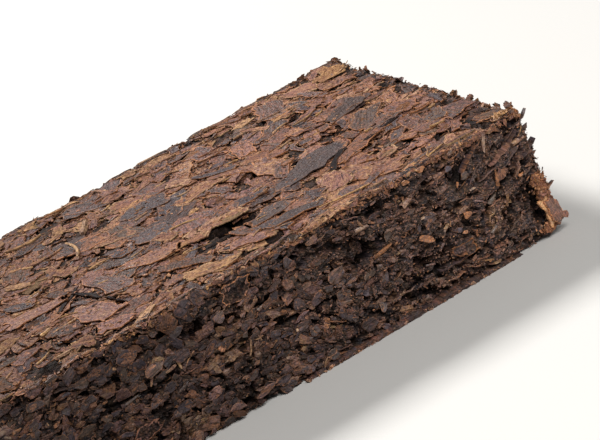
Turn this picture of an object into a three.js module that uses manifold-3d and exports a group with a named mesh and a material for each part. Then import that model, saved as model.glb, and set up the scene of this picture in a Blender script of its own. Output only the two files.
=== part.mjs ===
// A brick of pressed pu erh tea: fermented leaf, steamed and pressed in a rectangular mould.
// Millimetres, +Z up. X runs along the brick's length and Y across it, the leaf lies flat in the two
// pressed faces (+Z and -Z), and the four mould faces show the broken edges of its layers.
// The origin is the middle of the face that the brick rests on.
import * as THREE from "three";
import { mergeVertices } from "three/addons/utils/BufferGeometryUtils.js";
import Module from "manifold-3d";

// Driving dimensions.
const LENGTH = 140; // along X
const WIDTH = 90; // along Y
const HEIGHT = 30; // along Z
const EDGE_RADIUS = 1.7; // how far the edges and corners are worn round
const GRID = [5.6, 6, 3.2]; // spacing of the core's facets along X, Y and Z
const SINK = 1.3; // how far each of them reaches down into the core
const FINEST = 0.04; // slivers thinner than this are left out
const SEED = 7581;

const wasm = await Module();
wasm.setup();

// A repeatable random number from 0 to 1.
function randomFrom(seed) {
  let state = seed >>> 0;
  return () => {
    state = (state + 0x6d2b79f5) >>> 0;
    let t = Math.imul(state ^ (state >>> 15), state | 1);
    t ^= t + Math.imul(t ^ (t >>> 7), t | 61);
    return ((t ^ (t >>> 14)) >>> 0) / 4294967296;
  };
}
const random = randomFrom(SEED);
const between = ([least, most]) => least + (most - least) * random();
const eitherWay = (most) => most * (2 * random() - 1);

// Solids: a closed geometry as a manifold, and back.
function solidOf(geometry) {
  const bare = geometry.clone();
  bare.deleteAttribute("normal");
  bare.deleteAttribute("uv");
  const merged = mergeVertices(bare, 1e-4);
  return new wasm.Manifold(
    new wasm.Mesh({
      numProp: 3,
      vertProperties: Float32Array.from(merged.attributes.position.array),
      triVerts: Uint32Array.from(merged.index.array),
    }),
  );
}

function geometryOf(solid) {
  const { numProp, numVert, vertProperties, triVerts } = solid.getMesh();
  const points = new Float32Array(numVert * 3);
  for (let i = 0; i < numVert; i++)
    points.set(vertProperties.subarray(i * numProp, i * numProp + 3), i * 3);
  const geometry = new THREE.BufferGeometry();
  geometry.setAttribute("position", new THREE.BufferAttribute(points, 3));
  geometry.setIndex(new THREE.BufferAttribute(triVerts, 1));
  geometry.computeVertexNormals();
  return geometry;
}

// The six faces: local x along the face, local y across it, and local z straight out of it.
const X = new THREE.Vector3(1, 0, 0);
const Y = new THREE.Vector3(0, 1, 0);
const Z = new THREE.Vector3(0, 0, 1);
const back = (axis) => axis.clone().negate();
const MIDDLE = HEIGHT / 2;
function face(along, across, length, width) {
  const out = along.clone().cross(across);
  const centre = new THREE.Vector3(LENGTH / 2, WIDTH / 2, MIDDLE).multiply(out);
  centre.z += MIDDLE;
  return {
    out,
    length,
    width,
    frame: new THREE.Matrix4().makeBasis(along, across, out).setPosition(centre),
  };
}
const FACES = {
  top: face(X, Y, LENGTH, WIDTH),
  base: face(X, back(Y), LENGTH, WIDTH),
  near: face(X, Z, LENGTH, HEIGHT),
  far: face(back(X), Z, LENGTH, HEIGHT),
  right: face(Y, Z, WIDTH, HEIGHT),
  left: face(back(Y), Z, WIDTH, HEIGHT),
};

// A place on a face: u along it and v across it from its middle, lifted out of it by so much, turned
// about the face's normal and then tilted about its own long and short axes, in degrees.
function placeOn({ frame }, { u, v, lift = 0, turn = 0, roll = 0, pitch = 0 }) {
  const [a, b, c] = [roll, pitch, turn].map(THREE.MathUtils.degToRad);
  return frame
    .clone()
    .multiply(new THREE.Matrix4().makeTranslation(u, v, lift))
    .multiply(new THREE.Matrix4().makeRotationFromEuler(new THREE.Euler(a, b, c, "ZYX")));
}

// The layers in each face are a patchwork. A patch is one piece of leaf, `size` long and wide, that
// lies at its own level, `steps` up or down, and at its own `slope`. Patches are laid out on a loose
// grid, and each point of the face belongs to the patch whose middle is nearest. All are `sunk` a
// little, so that the whole leaves over them come out about level with the face.
const PRESSED = { size: [12, 6.4], steps: 0.35, slope: [0.03, 0.06], turn: 20, sunk: 0.6 };
const BROKEN = { size: [6.8, 3.8], steps: 0.7, slope: [0.1, 0.2], turn: 14, sunk: 0.2 };
const LOOSE = 0.42; // how far a patch's middle strays, in patches
function patchwork({ frame, length, width }, { size: [long, wide], steps, slope, turn, sunk }) {
  const patches = [];
  for (let row = -1; (row - 1) * wide < width; row++)
    for (let column = -1; (column - 1) * long < length; column++)
      patches.push({
        u: (column + 0.5 * (row % 2) + eitherWay(LOOSE)) * long - length / 2,
        v: (row + eitherWay(LOOSE)) * wide - width / 2,
        level: eitherWay(steps) - sunk,
        slopes: slope.map(eitherWay),
        turn: THREE.MathUtils.degToRad(eitherWay(turn)),
      });
  const toFace = frame.clone().invert();
  return (point) => {
    const { x, y } = point.clone().applyMatrix4(toFace);
    let nearest = { distance: Infinity };
    for (const { u, v, level, slopes, turn: angle } of patches) {
      const along = Math.cos(angle) * (x - u) + Math.sin(angle) * (y - v);
      const across = Math.cos(angle) * (y - v) - Math.sin(angle) * (x - u);
      const distance = Math.hypot(along / long, across / wide);
      if (distance < nearest.distance)
        nearest = { distance, level: level + slopes[0] * along + slopes[1] * across };
    }
    return nearest.level;
  };
}

// The low swells of a face that was pressed by hand, in mm.
const SWELLS = [
  { wave: [47, 31, 23], lift: 0.2 },
  { wave: [19, 27, 14], lift: 0.16 },
];
const swell = (p) =>
  SWELLS.reduce(
    (sum, { wave: [x, y, z], lift }, i) =>
      sum + lift * Math.sin(p.x / x + p.y / y + i) * Math.cos(p.y / x - p.z / z + 2 * i),
    0,
  );

// The matted core: a box with worn edges whose facets stray from a grid and follow the layers. Its
// broken sides are gritty as well, with crumbs about as large as the facets.
const STRAY = 0.3; // of a grid step
const GRIT = 0.42; // how far a facet's corners stand in or out on the sides, in mm
function core() {
  const size = [LENGTH, WIDTH, HEIGHT];
  const counts = size.map((side, axis) => Math.round(side / GRID[axis]));
  const box = new THREE.BoxGeometry(...size, ...counts);
  box.deleteAttribute("normal");
  box.deleteAttribute("uv");
  const shell = mergeVertices(box, 1e-3);
  const half = size.map((side) => side / 2);
  const inner = new THREE.Vector3(...half).subScalar(EDGE_RADIUS);
  const layers = Object.entries(FACES).map(([name, which]) => ({
    out: which.out,
    level: patchwork(which, name === "top" || name === "base" ? PRESSED : BROKEN),
  }));
  const points = shell.attributes.position;
  const p = new THREE.Vector3();
  for (let i = 0; i < points.count; i++) {
    p.fromBufferAttribute(points, i);
    const strayed = p.toArray().map((at, axis) => {
      const onEdge = Math.abs(at) > half[axis] - 1e-3;
      return at + (onEdge ? 0 : eitherWay((STRAY * size[axis]) / counts[axis]));
    });
    p.fromArray(strayed);
    const heart = p.clone().clamp(back(inner), inner);
    const out = p.clone().sub(heart).normalize();
    p.copy(heart).addScaledVector(out, EDGE_RADIUS).add(new THREE.Vector3(0, 0, MIDDLE));
    const grit = eitherWay(GRIT * (1 - Math.abs(out.z)));
    const relief = layers.reduce((sum, { out: straight, level }) => {
      const facing = out.dot(straight);
      return facing > 0.05 ? sum + facing * level(p) : sum;
    }, swell(p) + grit);
    p.addScaledVector(out, relief);
    points.setXYZ(i, p.x, p.y, p.z);
  }
  return solidOf(shell);
}

// One whole piece of leaf: a flat, uneven, many-cornered chip that thins towards its rim and is a
// little crowned, with its upper face's rim at local z = 0.
const RIM_TAPER = 0.86; // the upper face's outline against the lower one's
const CROWN = 0.2; // how much higher the middle lies than the rim, in mm
function leafPiece({ length, width, thick, corners }) {
  const chip = new THREE.CylinderGeometry(RIM_TAPER, 1, thick, corners);
  chip.rotateX(Math.PI / 2);
  chip.deleteAttribute("normal");
  chip.deleteAttribute("uv");
  const shape = mergeVertices(chip, 1e-4);
  const points = shape.attributes.position;
  const reach = Array.from({ length: corners }, () => between([0.78, 1.12]));
  for (let i = 0; i < points.count; i++) {
    const [x, y, z] = [points.getX(i), points.getY(i), points.getZ(i)];
    const corner = Math.round((Math.atan2(y, x) / (2 * Math.PI)) * corners + corners) % corners;
    const crown = Math.hypot(x, y) < 0.1 && z > 0 ? CROWN : 0;
    points.setXYZ(
      i,
      (x * reach[corner] * length) / 2,
      (y * reach[corner] * width) / 2,
      z - thick / 2 + crown,
    );
  }
  return shape;
}

const pieceAt = (onFace, size, place) =>
  solidOf(leafPiece(size).applyMatrix4(placeOn(onFace, place)));

// Whole leaves in a face, lying over one another: one to each cell of a loose grid `spaced` along
// and across the face, with one end pressed in and the other standing `proud`.
const FLAT_LEAF = {
  length: [11, 23],
  width: [5.6, 10.4],
  proud: [-0.2, 0.3],
  turn: 28,
  roll: 3.2,
  pitch: 2.4,
  corners: 6,
};
const EDGE_LEAF = {
  length: [4.5, 11],
  width: [2, 4.2],
  proud: [0.2, 0.75],
  turn: 26,
  roll: 13,
  pitch: 5,
  corners: 5,
};
const RIM = 3.5; // bare rim round each face
function scattered(name, kind, spaced) {
  const onFace = FACES[name];
  const field = [onFace.length - 2 * RIM, onFace.width - 2 * RIM];
  const [columns, rows] = field.map((side, axis) => Math.round(side / spaced[axis]));
  return Array.from({ length: rows * columns }, (_, i) => {
    const lift = between(kind.proud);
    const at = [(i % columns) + 0.5 + eitherWay(0.3), Math.floor(i / columns) + 0.5 + eitherWay(0.3)];
    return pieceAt(
      onFace,
      {
        length: between(kind.length),
        width: between(kind.width),
        thick: SINK + lift,
        corners: kind.corners,
      },
      {
        u: (at[0] / columns - 0.5) * field[0],
        v: (at[1] / rows - 0.5) * field[1],
        lift,
        turn: eitherWay(kind.turn),
        roll: eitherWay(kind.roll),
        pitch: eitherWay(kind.pitch),
      },
    );
  });
}

// The leaves that catch the eye on the top: [u, v, length, width, turn, roll, lift, corners].
const BOLD_LEAVES = [
  [32.9, -12.1, 21, 7.4, 14, -4, 0.5, 7],
  [42.5, -17.5, 15, 5.6, 20, 2, 0.3, 6],
  [31, -29.5, 8.5, 5.6, 12, 3, 0.4, 6],
  [-1.5, -16.6, 13, 3.6, 8, 5, 0.6, 6],
  [5.5, -35.4, 9.5, 5.4, 26, 3, 0.4, 6],
  [16.7, -13.7, 8, 5, 8, -3, 0.3, 6],
  [0.4, 14, 11, 7, 14, 2, 0.4, 7],
  [-11.3, -19.4, 14, 5, -12, -3, 0.4, 6],
];
const boldLeaf = ([u, v, length, width, turn, roll, lift, corners]) =>
  pieceAt(FACES.top, { length, width, thick: SINK + lift, corners }, { u, v, lift, turn, roll });

// The broad leaf in the middle of the base, which the brick rests on flat.
const restingLeaf = () =>
  pieceAt(
    FACES.base,
    { length: 36, width: 22, thick: SINK + 0.3, corners: 8 },
    { u: 0, v: 0, lift: 0.3, turn: 8 },
  );

// The skin of the base, squeezed out of the mould as a thin straight lip along its near edge.
const LIP = { from: 13, to: 58, high: 1.1, proud: 0.5 };
function pressLip() {
  const deep = LIP.proud + SINK;
  const strip = new THREE.CylinderGeometry(LIP.high, LIP.high, LIP.to - LIP.from, 8);
  strip.rotateZ(Math.PI / 2).scale(1, deep / LIP.high, 1);
  return solidOf(strip.translate((LIP.to + LIP.from) / 2, deep - WIDTH / 2 - LIP.proud, 0));
}

// The crust of the right end, peeling off it beside the near edge, and the gap that opens behind it.
const PEEL = { tall: 13.5, wide: 9, thick: 1.7, z: 7.2 };
const peeledCrust = () =>
  pieceAt(
    FACES.right,
    { length: PEEL.wide, width: PEEL.tall, thick: PEEL.thick, corners: 7 },
    { u: 3.9 - WIDTH / 2, v: PEEL.z - MIDDLE, lift: 0.2, turn: 6, roll: 3, pitch: 4 },
  );
function peelGap() {
  const wedge = new THREE.CylinderGeometry(0.5, 0.5, PEEL.tall - 3.5, 6);
  wedge.rotateX(Math.PI / 2).scale(1.9, 9, 1).rotateY(THREE.MathUtils.degToRad(-9));
  return solidOf(wedge.translate(LENGTH / 2 - 3.4, -WIDTH / 2, PEEL.z - 0.8));
}

// Chips knocked off the near corners of the right end.
function knockedCorner(z, reach, tilt) {
  const block = new THREE.BoxGeometry(reach * 3, reach * 3, reach * 3);
  const turn = new THREE.Euler(...tilt.map(THREE.MathUtils.degToRad), "ZYX");
  const place = new THREE.Matrix4()
    .makeTranslation(LENGTH / 2, -WIDTH / 2, z)
    .multiply(new THREE.Matrix4().makeRotationFromEuler(turn))
    .multiply(new THREE.Matrix4().makeTranslation(reach * 1.2, -reach * 0.9, 0));
  return solidOf(block.applyMatrix4(place));
}

// Pits where a piece has fallen out: [face, u, v, long, wide, deep], tapering to a blunt point.
const PITS = [
  ["top", 6.8, -20.6, 8.5, 4, 4.4],
  ["top", 38.6, -24.4, 5, 2.4, 2.4],
  ["top", -28.5, -17.4, 7, 3, 2.6],
  ["near", 23.6, 4.7, 5.4, 3.6, 4.2],
  ["near", -16.1, 8.5, 4.8, 3.8, 3.8],
  ["near", 50.6, 8.9, 3.2, 3.8, 3.4],
  ["near", -11.5, -12.4, 5, 2.2, 2.8],
  ["near", -48, -3, 5, 3.4, 3.4],
  ["far", -30, 3, 5.4, 3.4, 3.8],
  ["far", 41, -5, 4.4, 3, 3.2],
  ["right", 12, 4, 4.6, 3.2, 3.4],
  ["left", -14, -3, 4.8, 3, 3.6],
];
const PIT_FLOOR = 0.3; // the floor's outline against the mouth's
function pit([name, u, v, long, wide, deep]) {
  const hole = new THREE.CylinderGeometry(0.5, PIT_FLOOR / 2, deep + 2, 6);
  hole.rotateX(Math.PI / 2).scale(long, wide, 1).translate(0, 0, 1 - deep / 2);
  return solidOf(hole.applyMatrix4(placeOn(FACES[name], { u, v, turn: eitherWay(20) })));
}

// Cracks between the layers: [face, u, v, long, deep, turn]. Each is a thin blade cut on edge.
const CRACK_WIDTH = 0.9;
const CRACKS = [
  ["top", 44.6, -13.8, 24, 1.9, 20],
  ["top", 30, -18.6, 15, 1.6, 10],
  ["top", -20, -27, 17, 1.9, -16],
  ["top", -32, -14.6, 12, 1.8, 24],
  ["top", 12, -1.5, 22, 1.6, 8],
  ["top", -50, -12, 24, 1.7, 8],
  ["top", -30, 20, 20, 1.6, -14],
  ["top", 38, 22, 18, 1.6, 20],
  ["near", 12, -3.5, 26, 1.9, 3],
  ["near", -38, 2, 22, 1.9, -4],
  ["near", 56, -4, 15, 1.9, 38],
  ["near", -21, -7, 18, 1.9, 5],
  ["far", 18, 2, 28, 1.9, -3],
  ["far", -34, -4, 22, 1.8, 4],
  ["right", -8, -5, 20, 1.9, 5],
  ["right", 20, 3, 16, 1.8, -6],
  ["left", 4, 2, 24, 1.9, -4],
];
function crack([name, u, v, long, deep, turn]) {
  const blade = new THREE.CylinderGeometry(0.5, 0.5, CRACK_WIDTH, 6);
  blade.scale(long, 1, 2 * deep);
  return solidOf(blade.applyMatrix4(placeOn(FACES[name], { u, v, turn })));
}

// Everything below the resting plane is pressed flat.
function underTheBase() {
  const slab = new THREE.BoxGeometry(LENGTH * 1.2, WIDTH * 1.2, HEIGHT);
  return solidOf(slab.translate(0, 0, -MIDDLE));
}

function brick() {
  const added = [
    ...scattered("top", FLAT_LEAF, [16, 11.6]),
    ...BOLD_LEAVES.map(boldLeaf),
    ...scattered("base", FLAT_LEAF, [32, 26]),
    ...scattered("near", EDGE_LEAF, [13.3, 10]),
    ...scattered("far", EDGE_LEAF, [19, 10]),
    ...scattered("right", EDGE_LEAF, [19, 10]),
    ...scattered("left", EDGE_LEAF, [19, 10]),
    restingLeaf(),
    pressLip(),
    peeledCrust(),
  ];
  const cut = [
    ...PITS.map(pit),
    ...CRACKS.map(crack),
    peelGap(),
    knockedCorner(HEIGHT, 2.8, [6, 14, 38]),
    knockedCorner(0, 2.2, [-4, -22, 30]),
    underTheBase(),
  ];
  const built = added.reduce((whole, piece) => whole.add(piece), core());
  return cut.reduce((whole, piece) => whole.subtract(piece), built).simplify(FINEST);
}

const pressedLeaf = new THREE.MeshStandardMaterial({
  color: 0x4d3529,
  roughness: 0.82,
  metalness: 0,
});
const teaBrick = new THREE.Mesh(geometryOf(brick()), pressedLeaf);
teaBrick.name = "tea_brick";

const part = new THREE.Group();
part.add(teaBrick);
export default part;
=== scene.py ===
"""A brick of pressed pu erh tea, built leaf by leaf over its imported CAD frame.

Lengths in the code are in millimetres, in the frame's own axes: X along the brick, Y across it, Z up
from the face that it rests on. They turn into metres where a mesh is made.
"""

import math
from functools import partial
from itertools import product

import bmesh
import bpy
import numpy as np
from bpy.props import FloatProperty, FloatVectorProperty, IntProperty, PointerProperty
from mathutils import Matrix, Vector


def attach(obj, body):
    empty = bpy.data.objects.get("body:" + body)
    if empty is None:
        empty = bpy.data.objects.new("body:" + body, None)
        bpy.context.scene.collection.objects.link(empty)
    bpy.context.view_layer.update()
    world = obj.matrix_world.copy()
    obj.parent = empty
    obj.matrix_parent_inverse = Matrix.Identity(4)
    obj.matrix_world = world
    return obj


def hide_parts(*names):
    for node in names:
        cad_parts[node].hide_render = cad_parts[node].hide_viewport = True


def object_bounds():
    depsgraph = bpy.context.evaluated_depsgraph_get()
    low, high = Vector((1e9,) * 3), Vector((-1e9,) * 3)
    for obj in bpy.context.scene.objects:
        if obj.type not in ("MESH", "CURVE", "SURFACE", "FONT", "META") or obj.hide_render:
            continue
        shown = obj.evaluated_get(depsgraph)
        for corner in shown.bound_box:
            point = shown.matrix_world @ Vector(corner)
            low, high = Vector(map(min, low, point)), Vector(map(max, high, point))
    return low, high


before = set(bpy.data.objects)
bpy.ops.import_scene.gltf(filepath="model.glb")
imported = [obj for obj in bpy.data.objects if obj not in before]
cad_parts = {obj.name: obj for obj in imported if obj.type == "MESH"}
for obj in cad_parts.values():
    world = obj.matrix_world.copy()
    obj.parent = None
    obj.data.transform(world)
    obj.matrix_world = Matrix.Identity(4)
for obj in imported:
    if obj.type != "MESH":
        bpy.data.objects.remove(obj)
CAD_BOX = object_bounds()

bl_info = {
    "name": "Pressed Tea Brick",
    "version": (1, 0, 0),
    "blender": (4, 5, 0),
    "location": "3D Viewport > Sidebar > Tea Brick",
    "description": "Builds a brick of pressed pu erh tea from its core, leaves, crumbs and stalks",
    "category": "Object",
}

NODE = "tea_brick"
MM = 0.001
FLAKE_RISE = 1.1  # the highest flakes of the solid stand about this far out of the plain brick
SOLID_LOW, SOLID_HIGH = np.array(CAD_BOX) / MM
LENGTH, WIDTH = np.round(SOLID_HIGH - SOLID_LOW - 2 * FLAKE_RISE)[:2]
HEIGHT = np.round(SOLID_HIGH[2] - FLAKE_RISE)
EDGE = 1.3  # how far the edges are worn round
MIDDLE = np.array([0.0, 0.0, HEIGHT / 2])
HALF = np.array([LENGTH, WIDTH, HEIGHT]) / 2
X, Y, Z = np.eye(3)
SIDES = ("near", "far", "right", "left")
LIP_FROM, LIP_TO = 2.0, 58.5  # where the pressed lip starts and ends along the near edge
LEAF_NUMBERS = 400  # each piece of leaf gets a number up to this, which sets its own pattern


# ------------ settings


def linear(hex_colour):
    """An sRGB hex colour as linear red, green and blue."""
    parts = [int(hex_colour[i : i + 2], 16) / 255 for i in (1, 3, 5)]
    return [c / 12.92 if c <= 0.04045 else ((c + 0.055) / 1.055) ** 2.4 for c in parts]


def colour(name, description, hex_colour):
    look = {"subtype": "COLOR", "size": 3, "min": 0, "max": 1, "default": linear(hex_colour)}
    return FloatVectorProperty(name=name, description=description, **look)


def amount(name, description, default, **units):
    return FloatProperty(name=name, description=description, default=default, min=0, **units)


def length(name, description, millimetres):
    units = {"unit": "LENGTH", "subtype": "DISTANCE", "precision": 5}
    return amount(name, description, millimetres * MM, **units)


def count_of(name, description, count):
    return IntProperty(name=name, description=description, default=count, min=0)


class TeaLeafSettings(bpy.types.PropertyGroup):
    """How much leaf is laid on the brick and how large it is"""

    seed: IntProperty(name="Seed", description="Changes every random draw", default=11)
    top_leaves: count_of("Leaves on top", "Whole pieces of leaf pressed into the top", 1020)
    base_leaves: count_of("Leaves below", "Whole pieces of leaf pressed into the base", 260)
    side_leaves: count_of("Leaves on the sides", "Flat pieces that face out of the sides", 360)
    crumbs: count_of("Crumbs", "Small bits in the dips between the leaves of the top and base", 12500)
    slivers: count_of("Slivers", "Long thin shreds pressed along the top edges", 110)
    flakes: count_of("Side flakes", "Small broken flakes on the four sides", 11500)
    crumble: count_of("Crumble", "Fine crumbs where the near side broke up", 11500)
    scales: count_of("Side scales", "Larger flakes that lie flush in the sides", 3300)
    rolled: count_of("Rolled pieces", "Pieces of leaf that dried into a roll", 700)
    strips: count_of("Edge strips", "Layers of leaf seen edge-on in the sides", 1350)
    stalks: count_of("Stalks", "Bits of stem in every face", 230)
    dust: count_of("Dust", "Specks of broken leaf and stem", 2600)
    longest: length("Longest leaf", "Length of the longest piece of leaf", 18)
    shortest: length("Shortest leaf", "Length of the shortest piece of leaf", 2.6)
    leaf_depth: length("Leaf thickness", "Thickness of one pressed leaf", 0.16)


class TeaColourSettings(bpy.types.PropertyGroup):
    """The colours of fermented leaf, from the darkest to the palest"""

    slate: colour("Slate leaf", "Bluish black of thick, fully fermented leaf", "#4b4142")
    umber: colour("Umber leaf", "Dark brown of the mass of the leaf", "#56443f")
    russet: colour("Russet leaf", "Red brown of thinner leaf", "#7a5347")
    fawn: colour("Fawn leaf", "Pale brown of old coarse leaf", "#8e6c52")
    straw: colour("Straw stem", "Yellow brown of stem and tip", "#ab8965")
    rim: colour("Torn rim", "Orange brown of the rubbed and torn edges", "#a86f47")
    # The core's near black, seen only in the gaps between leaves: dark pressed dust, and painted shade in
    # those gaps.
    shade: colour("Pressed dust", "Near black of the fine leaf between the layers", "#1f1815")


class TeaStageSettings(bpy.types.PropertyGroup):
    """The floor, the lights and the camera round the brick"""

    floor: colour("Floor", "Colour of the pale floor", "#c9c6c1")
    key: amount("Key light", "Power of the light behind the brick", 21.8, unit="POWER")
    fill: amount("Fill light", "Power of the soft light in front", 5.6, unit="POWER")
    air: colour("Ambient colour", "Cool tint of the light from all round", "#eff6ff")
    sky: amount("Ambient light", "Strength of the light from all round", 0.13)
    lens: amount("Lens", "Focal length of the camera", 118.2, unit="CAMERA")


# ------------ the brick's faces


def smooth_noise(rng, count, knots):
    """`count` numbers that wander between -1 and 1, turning about `knots` times."""
    at = np.linspace(0, knots, count)
    values = rng.uniform(-1, 1, knots + 2)
    i = at.astype(int)
    f = at - i
    f = f * f * (3 - 2 * f)
    return values[i] * (1 - f) + values[i + 1] * f


def blended(grid, i, j, f, g):
    """A grid's value between cells: a share `f` of the way from i to i + 1, and `g` from j to j + 1."""
    near = grid[i, j] * (1 - f) + grid[i + 1, j] * f
    far = grid[i, j + 1] * (1 - f) + grid[i + 1, j + 1] * f
    return near * (1 - g) + far * g


def round_over(distance, half):
    """Carries a distance along a face round its worn edge: how far along, down, and turned."""
    over = np.maximum(np.abs(distance) - (half - EDGE), 0)
    angle = np.minimum(over / EDGE, math.pi / 2)
    along = np.minimum(np.abs(distance), half - EDGE) + EDGE * np.sin(angle)
    down = EDGE * (1 - np.cos(angle)) + over - angle * EDGE
    return np.sign(distance) * along, down, np.sign(distance) * angle


class Face:
    """One face of the brick, with maps of how high and what colour the leaf on it lies so far."""

    STEP = 0.35  # size of a cell of the maps
    MARGIN = 4.0  # how far the maps run on round the edges

    def __init__(self, name, along, across, seed):
        self.name = name
        self.flat = name not in SIDES
        self.limit = 0.12 if self.flat else 0.4  # how high leaf may lie before it is pressed down
        self.along, self.across = along, across
        self.out = np.cross(along, across)
        self.half = abs(self.along @ HALF), abs(self.across @ HALF)
        self.centre = MIDDLE + self.out * abs(self.out @ HALF)
        self.rng = np.random.default_rng(seed)
        cells = [int(2 * (side + self.MARGIN) / self.STEP) + 2 for side in self.half]
        self.level = np.full(cells, -3.0)  # how high the leaf lies over the plain brick
        self.tint = np.full(cells, 0.3)  # its place in the run of leaf colours
        self.tone = np.full(cells, 1.0)  # how light it is: the leaf's own lightness, with painted shade in its cracks and pits
        self.rim = np.zeros(cells)  # how much of it is a rubbed rim
        self.open = np.zeros(cells, bool)  # where a crack or a pit stays free of leaf
        self.batch = np.zeros(cells)  # how much paler one lump of leaf is than the next
        self.zone = self.swells(17)  # where pale or dark leaf is commoner
        # Layers in a side wrap round the lumps in it; on top and below they only wander a little.
        self.flow = 8 * self.swells(22) if self.flat else 30 * self.swells(7) + 22 * self.swells(3)

    def swells(self, apart):
        """A map of soft swellings between -1 and 1, `apart` from each other."""
        knots = [int(side * self.STEP / apart) + 3 for side in self.level.shape]
        coarse = self.rng.uniform(-1, 1, knots)
        at = [np.arange(side) * self.STEP / apart for side in self.level.shape]
        whole = [axis.astype(int) for axis in at]
        part = [axis - k for axis, k in zip(at, whole, strict=True)]
        f, g = (axis * axis * (3 - 2 * axis) for axis in part)
        return blended(coarse, whole[0][:, None], whole[1][None], f[:, None], g[None])

    def places(self):
        """Where the cells of the maps lie on the face."""
        lines = [
            np.arange(side) * self.STEP - half - self.MARGIN
            for side, half in zip(self.level.shape, self.half, strict=True)
        ]
        return np.meshgrid(*lines, indexing="ij")

    def layers(self, u, v):
        """The way that the layers run at a place, in degrees, rising towards the near right end."""
        rise = 42 * np.clip((u - 46) / 14, 0, 1) if self.name == "near" else 0
        return rise + self.read(self.flow, u, v)

    def paling(self, u):
        """How much paler the flakes of a side are here: the near side gets lighter towards its right end.
        """
        return 0.87 + 0.5 * np.clip(u / 60, -0.5, 1) if self.name == "near" else 1.0

    def dips(self):
        """How far each cell lies below the leaf round it."""
        reach = 4
        padded = np.pad(self.level, reach, mode="edge")
        rows = np.mean([padded[k : k + self.level.shape[0]] for k in range(2 * reach + 1)], 0)
        columns = self.level.shape[1]
        return np.mean([rows[:, k : k + columns] for k in range(2 * reach + 1)], 0) - self.level

    def cell(self, u, v):
        """The cell of a place, as two numbers that aren't whole."""
        places = zip((u, v), self.half, strict=True)
        return [(place + half + self.MARGIN) / self.STEP for place, half in places]

    def read(self, grid, u, v):
        """The value of a map at any point, between its cells."""
        x, y = (
            np.clip(at, 0, side - 1.001) for at, side in zip(self.cell(u, v), grid.shape, strict=True)
        )
        i, j = x.astype(int), y.astype(int)
        return blended(grid, i, j, x - i, y - j)

    def point(self, u, v, high):
        """Places in the brick's frame, `high` above this face at u and v, and the face's way out."""
        a, down_a, turn_a = round_over(u, self.half[0])
        b, down_b, turn_b = round_over(v, self.half[1])
        out = (
            np.multiply.outer(np.sin(turn_a) * np.cos(turn_b), self.along)
            + np.multiply.outer(np.sin(turn_b) * np.cos(turn_a), self.across)
            + np.multiply.outer(np.cos(turn_a) * np.cos(turn_b), self.out)
        )
        out /= np.linalg.norm(out, axis=-1, keepdims=True)
        place = (
            self.centre
            + np.multiply.outer(a, self.along)
            + np.multiply.outer(b, self.across)
            - np.multiply.outer(down_a + down_b, self.out)
            + out * np.asarray(high)[..., None]
        )
        return place, out

    def window(self, u, v, long, wide, turn, reach):
        """The cells within reach of a point, and how far each lies along and across a turned shape
        there, in halves of its length and width."""
        x, y = self.cell(u, v)
        r = reach / self.STEP + 1
        i0, i1 = int(max(x - r, 0)), int(min(x + r + 1, self.level.shape[0]))
        j0, j1 = int(max(y - r, 0)), int(min(y + r + 1, self.level.shape[1]))
        du = (np.arange(i0, i1) - x)[:, None] * self.STEP
        dv = (np.arange(j0, j1) - y)[None, :] * self.STEP
        c, s = math.cos(turn), math.sin(turn)
        a, b = (c * du + s * dv) / (long / 2), (c * dv - s * du) / (wide / 2)
        return (slice(i0, i1), slice(j0, j1)), a, b

    def press(self, u, v, long, wide, turn, level, slopes, tint, tone):
        """Presses one flake into the maps where it lies higher than what is there."""
        cells, a, b = self.window(u, v, long, wide, turn, long * 0.6)
        lies = np.abs(a) ** 2.6 + np.abs(b) ** 2.2
        high = level + slopes[0] * a + slopes[1] * b - 0.3 * lies**3
        wins = (lies < 1) & (high > self.level[cells])
        self.level[cells][wins] = high[wins]
        self.tint[cells][wins] = tint
        self.tone[cells][wins] = tone * (1 - 0.3 * lies[wins] ** 6)
        self.rim[cells][wins] = np.clip(2.4 * lies[wins] ** 3 - 0.5, 0, 1)

    def cut(self, u, v, long, wide, turn, deep, closed=False):
        """Cuts a crack or a pit: a hollow with steep ragged walls, its inside painted darker as painted
        shade. Leaf stays off it unless closed.
        """
        cells, a, b = self.window(u, v, long, wide, math.radians(turn), max(long, wide) * 0.6)
        ragged = 0.28 * np.sin(a * 9 + u) + 0.18 * np.sin(a * 23 + v)
        lies = a**2 + (b + ragged) ** 2
        inside = lies < 1
        hollow = 0.4 - (deep + 0.4) * np.clip(1 - lies, 0, 1) ** 0.35
        self.level[cells][inside] = np.minimum(self.level[cells], hollow)[inside]
        if closed:
            # painted shade inside a crack that leaf closed over
            self.tone[cells][inside] *= 0.4
            self.open[cells] |= lies < 0.2
        else:
            # painted shade: the pit darkens to almost black towards its middle
            self.tone[cells] *= np.clip(0.05 + 0.95 * (lies - 0.85) / 0.5, 0.05, 1)
            self.open[cells] |= lies < (0.7 if wide < 1.5 else 1.25)
        self.rim[cells][inside] = 0


def mat_of_flakes(face, count, long, wide, level, tilt, turn, tint):
    """Covers a face with small flakes pressed into each other."""
    rng = face.rng
    reach = [side + 2.5 for side in face.half]
    for _ in range(count):
        u, v = rng.uniform(-reach[0], reach[0]), rng.uniform(-reach[1], reach[1])
        size = rng.uniform(*long), rng.uniform(*wide)
        angle = math.radians(face.layers(u, v) + rng.normal(0, turn))
        lies = rng.uniform(*level), rng.normal(0, tilt, 2)
        face.press(u, v, *size, angle, *lies, np.clip(rng.normal(*tint), 0, 1), rng.uniform(0.75, 1.15))


# Each face's way along and way across, in the brick's frame.
FACE_WAYS = {
    "top": (X, Y),
    "base": (X, -Y),
    "near": (X, Z),
    "far": (-X, Z),
    "right": (Y, Z),
    "left": (-Y, Z),
}
FACES = {}

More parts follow.
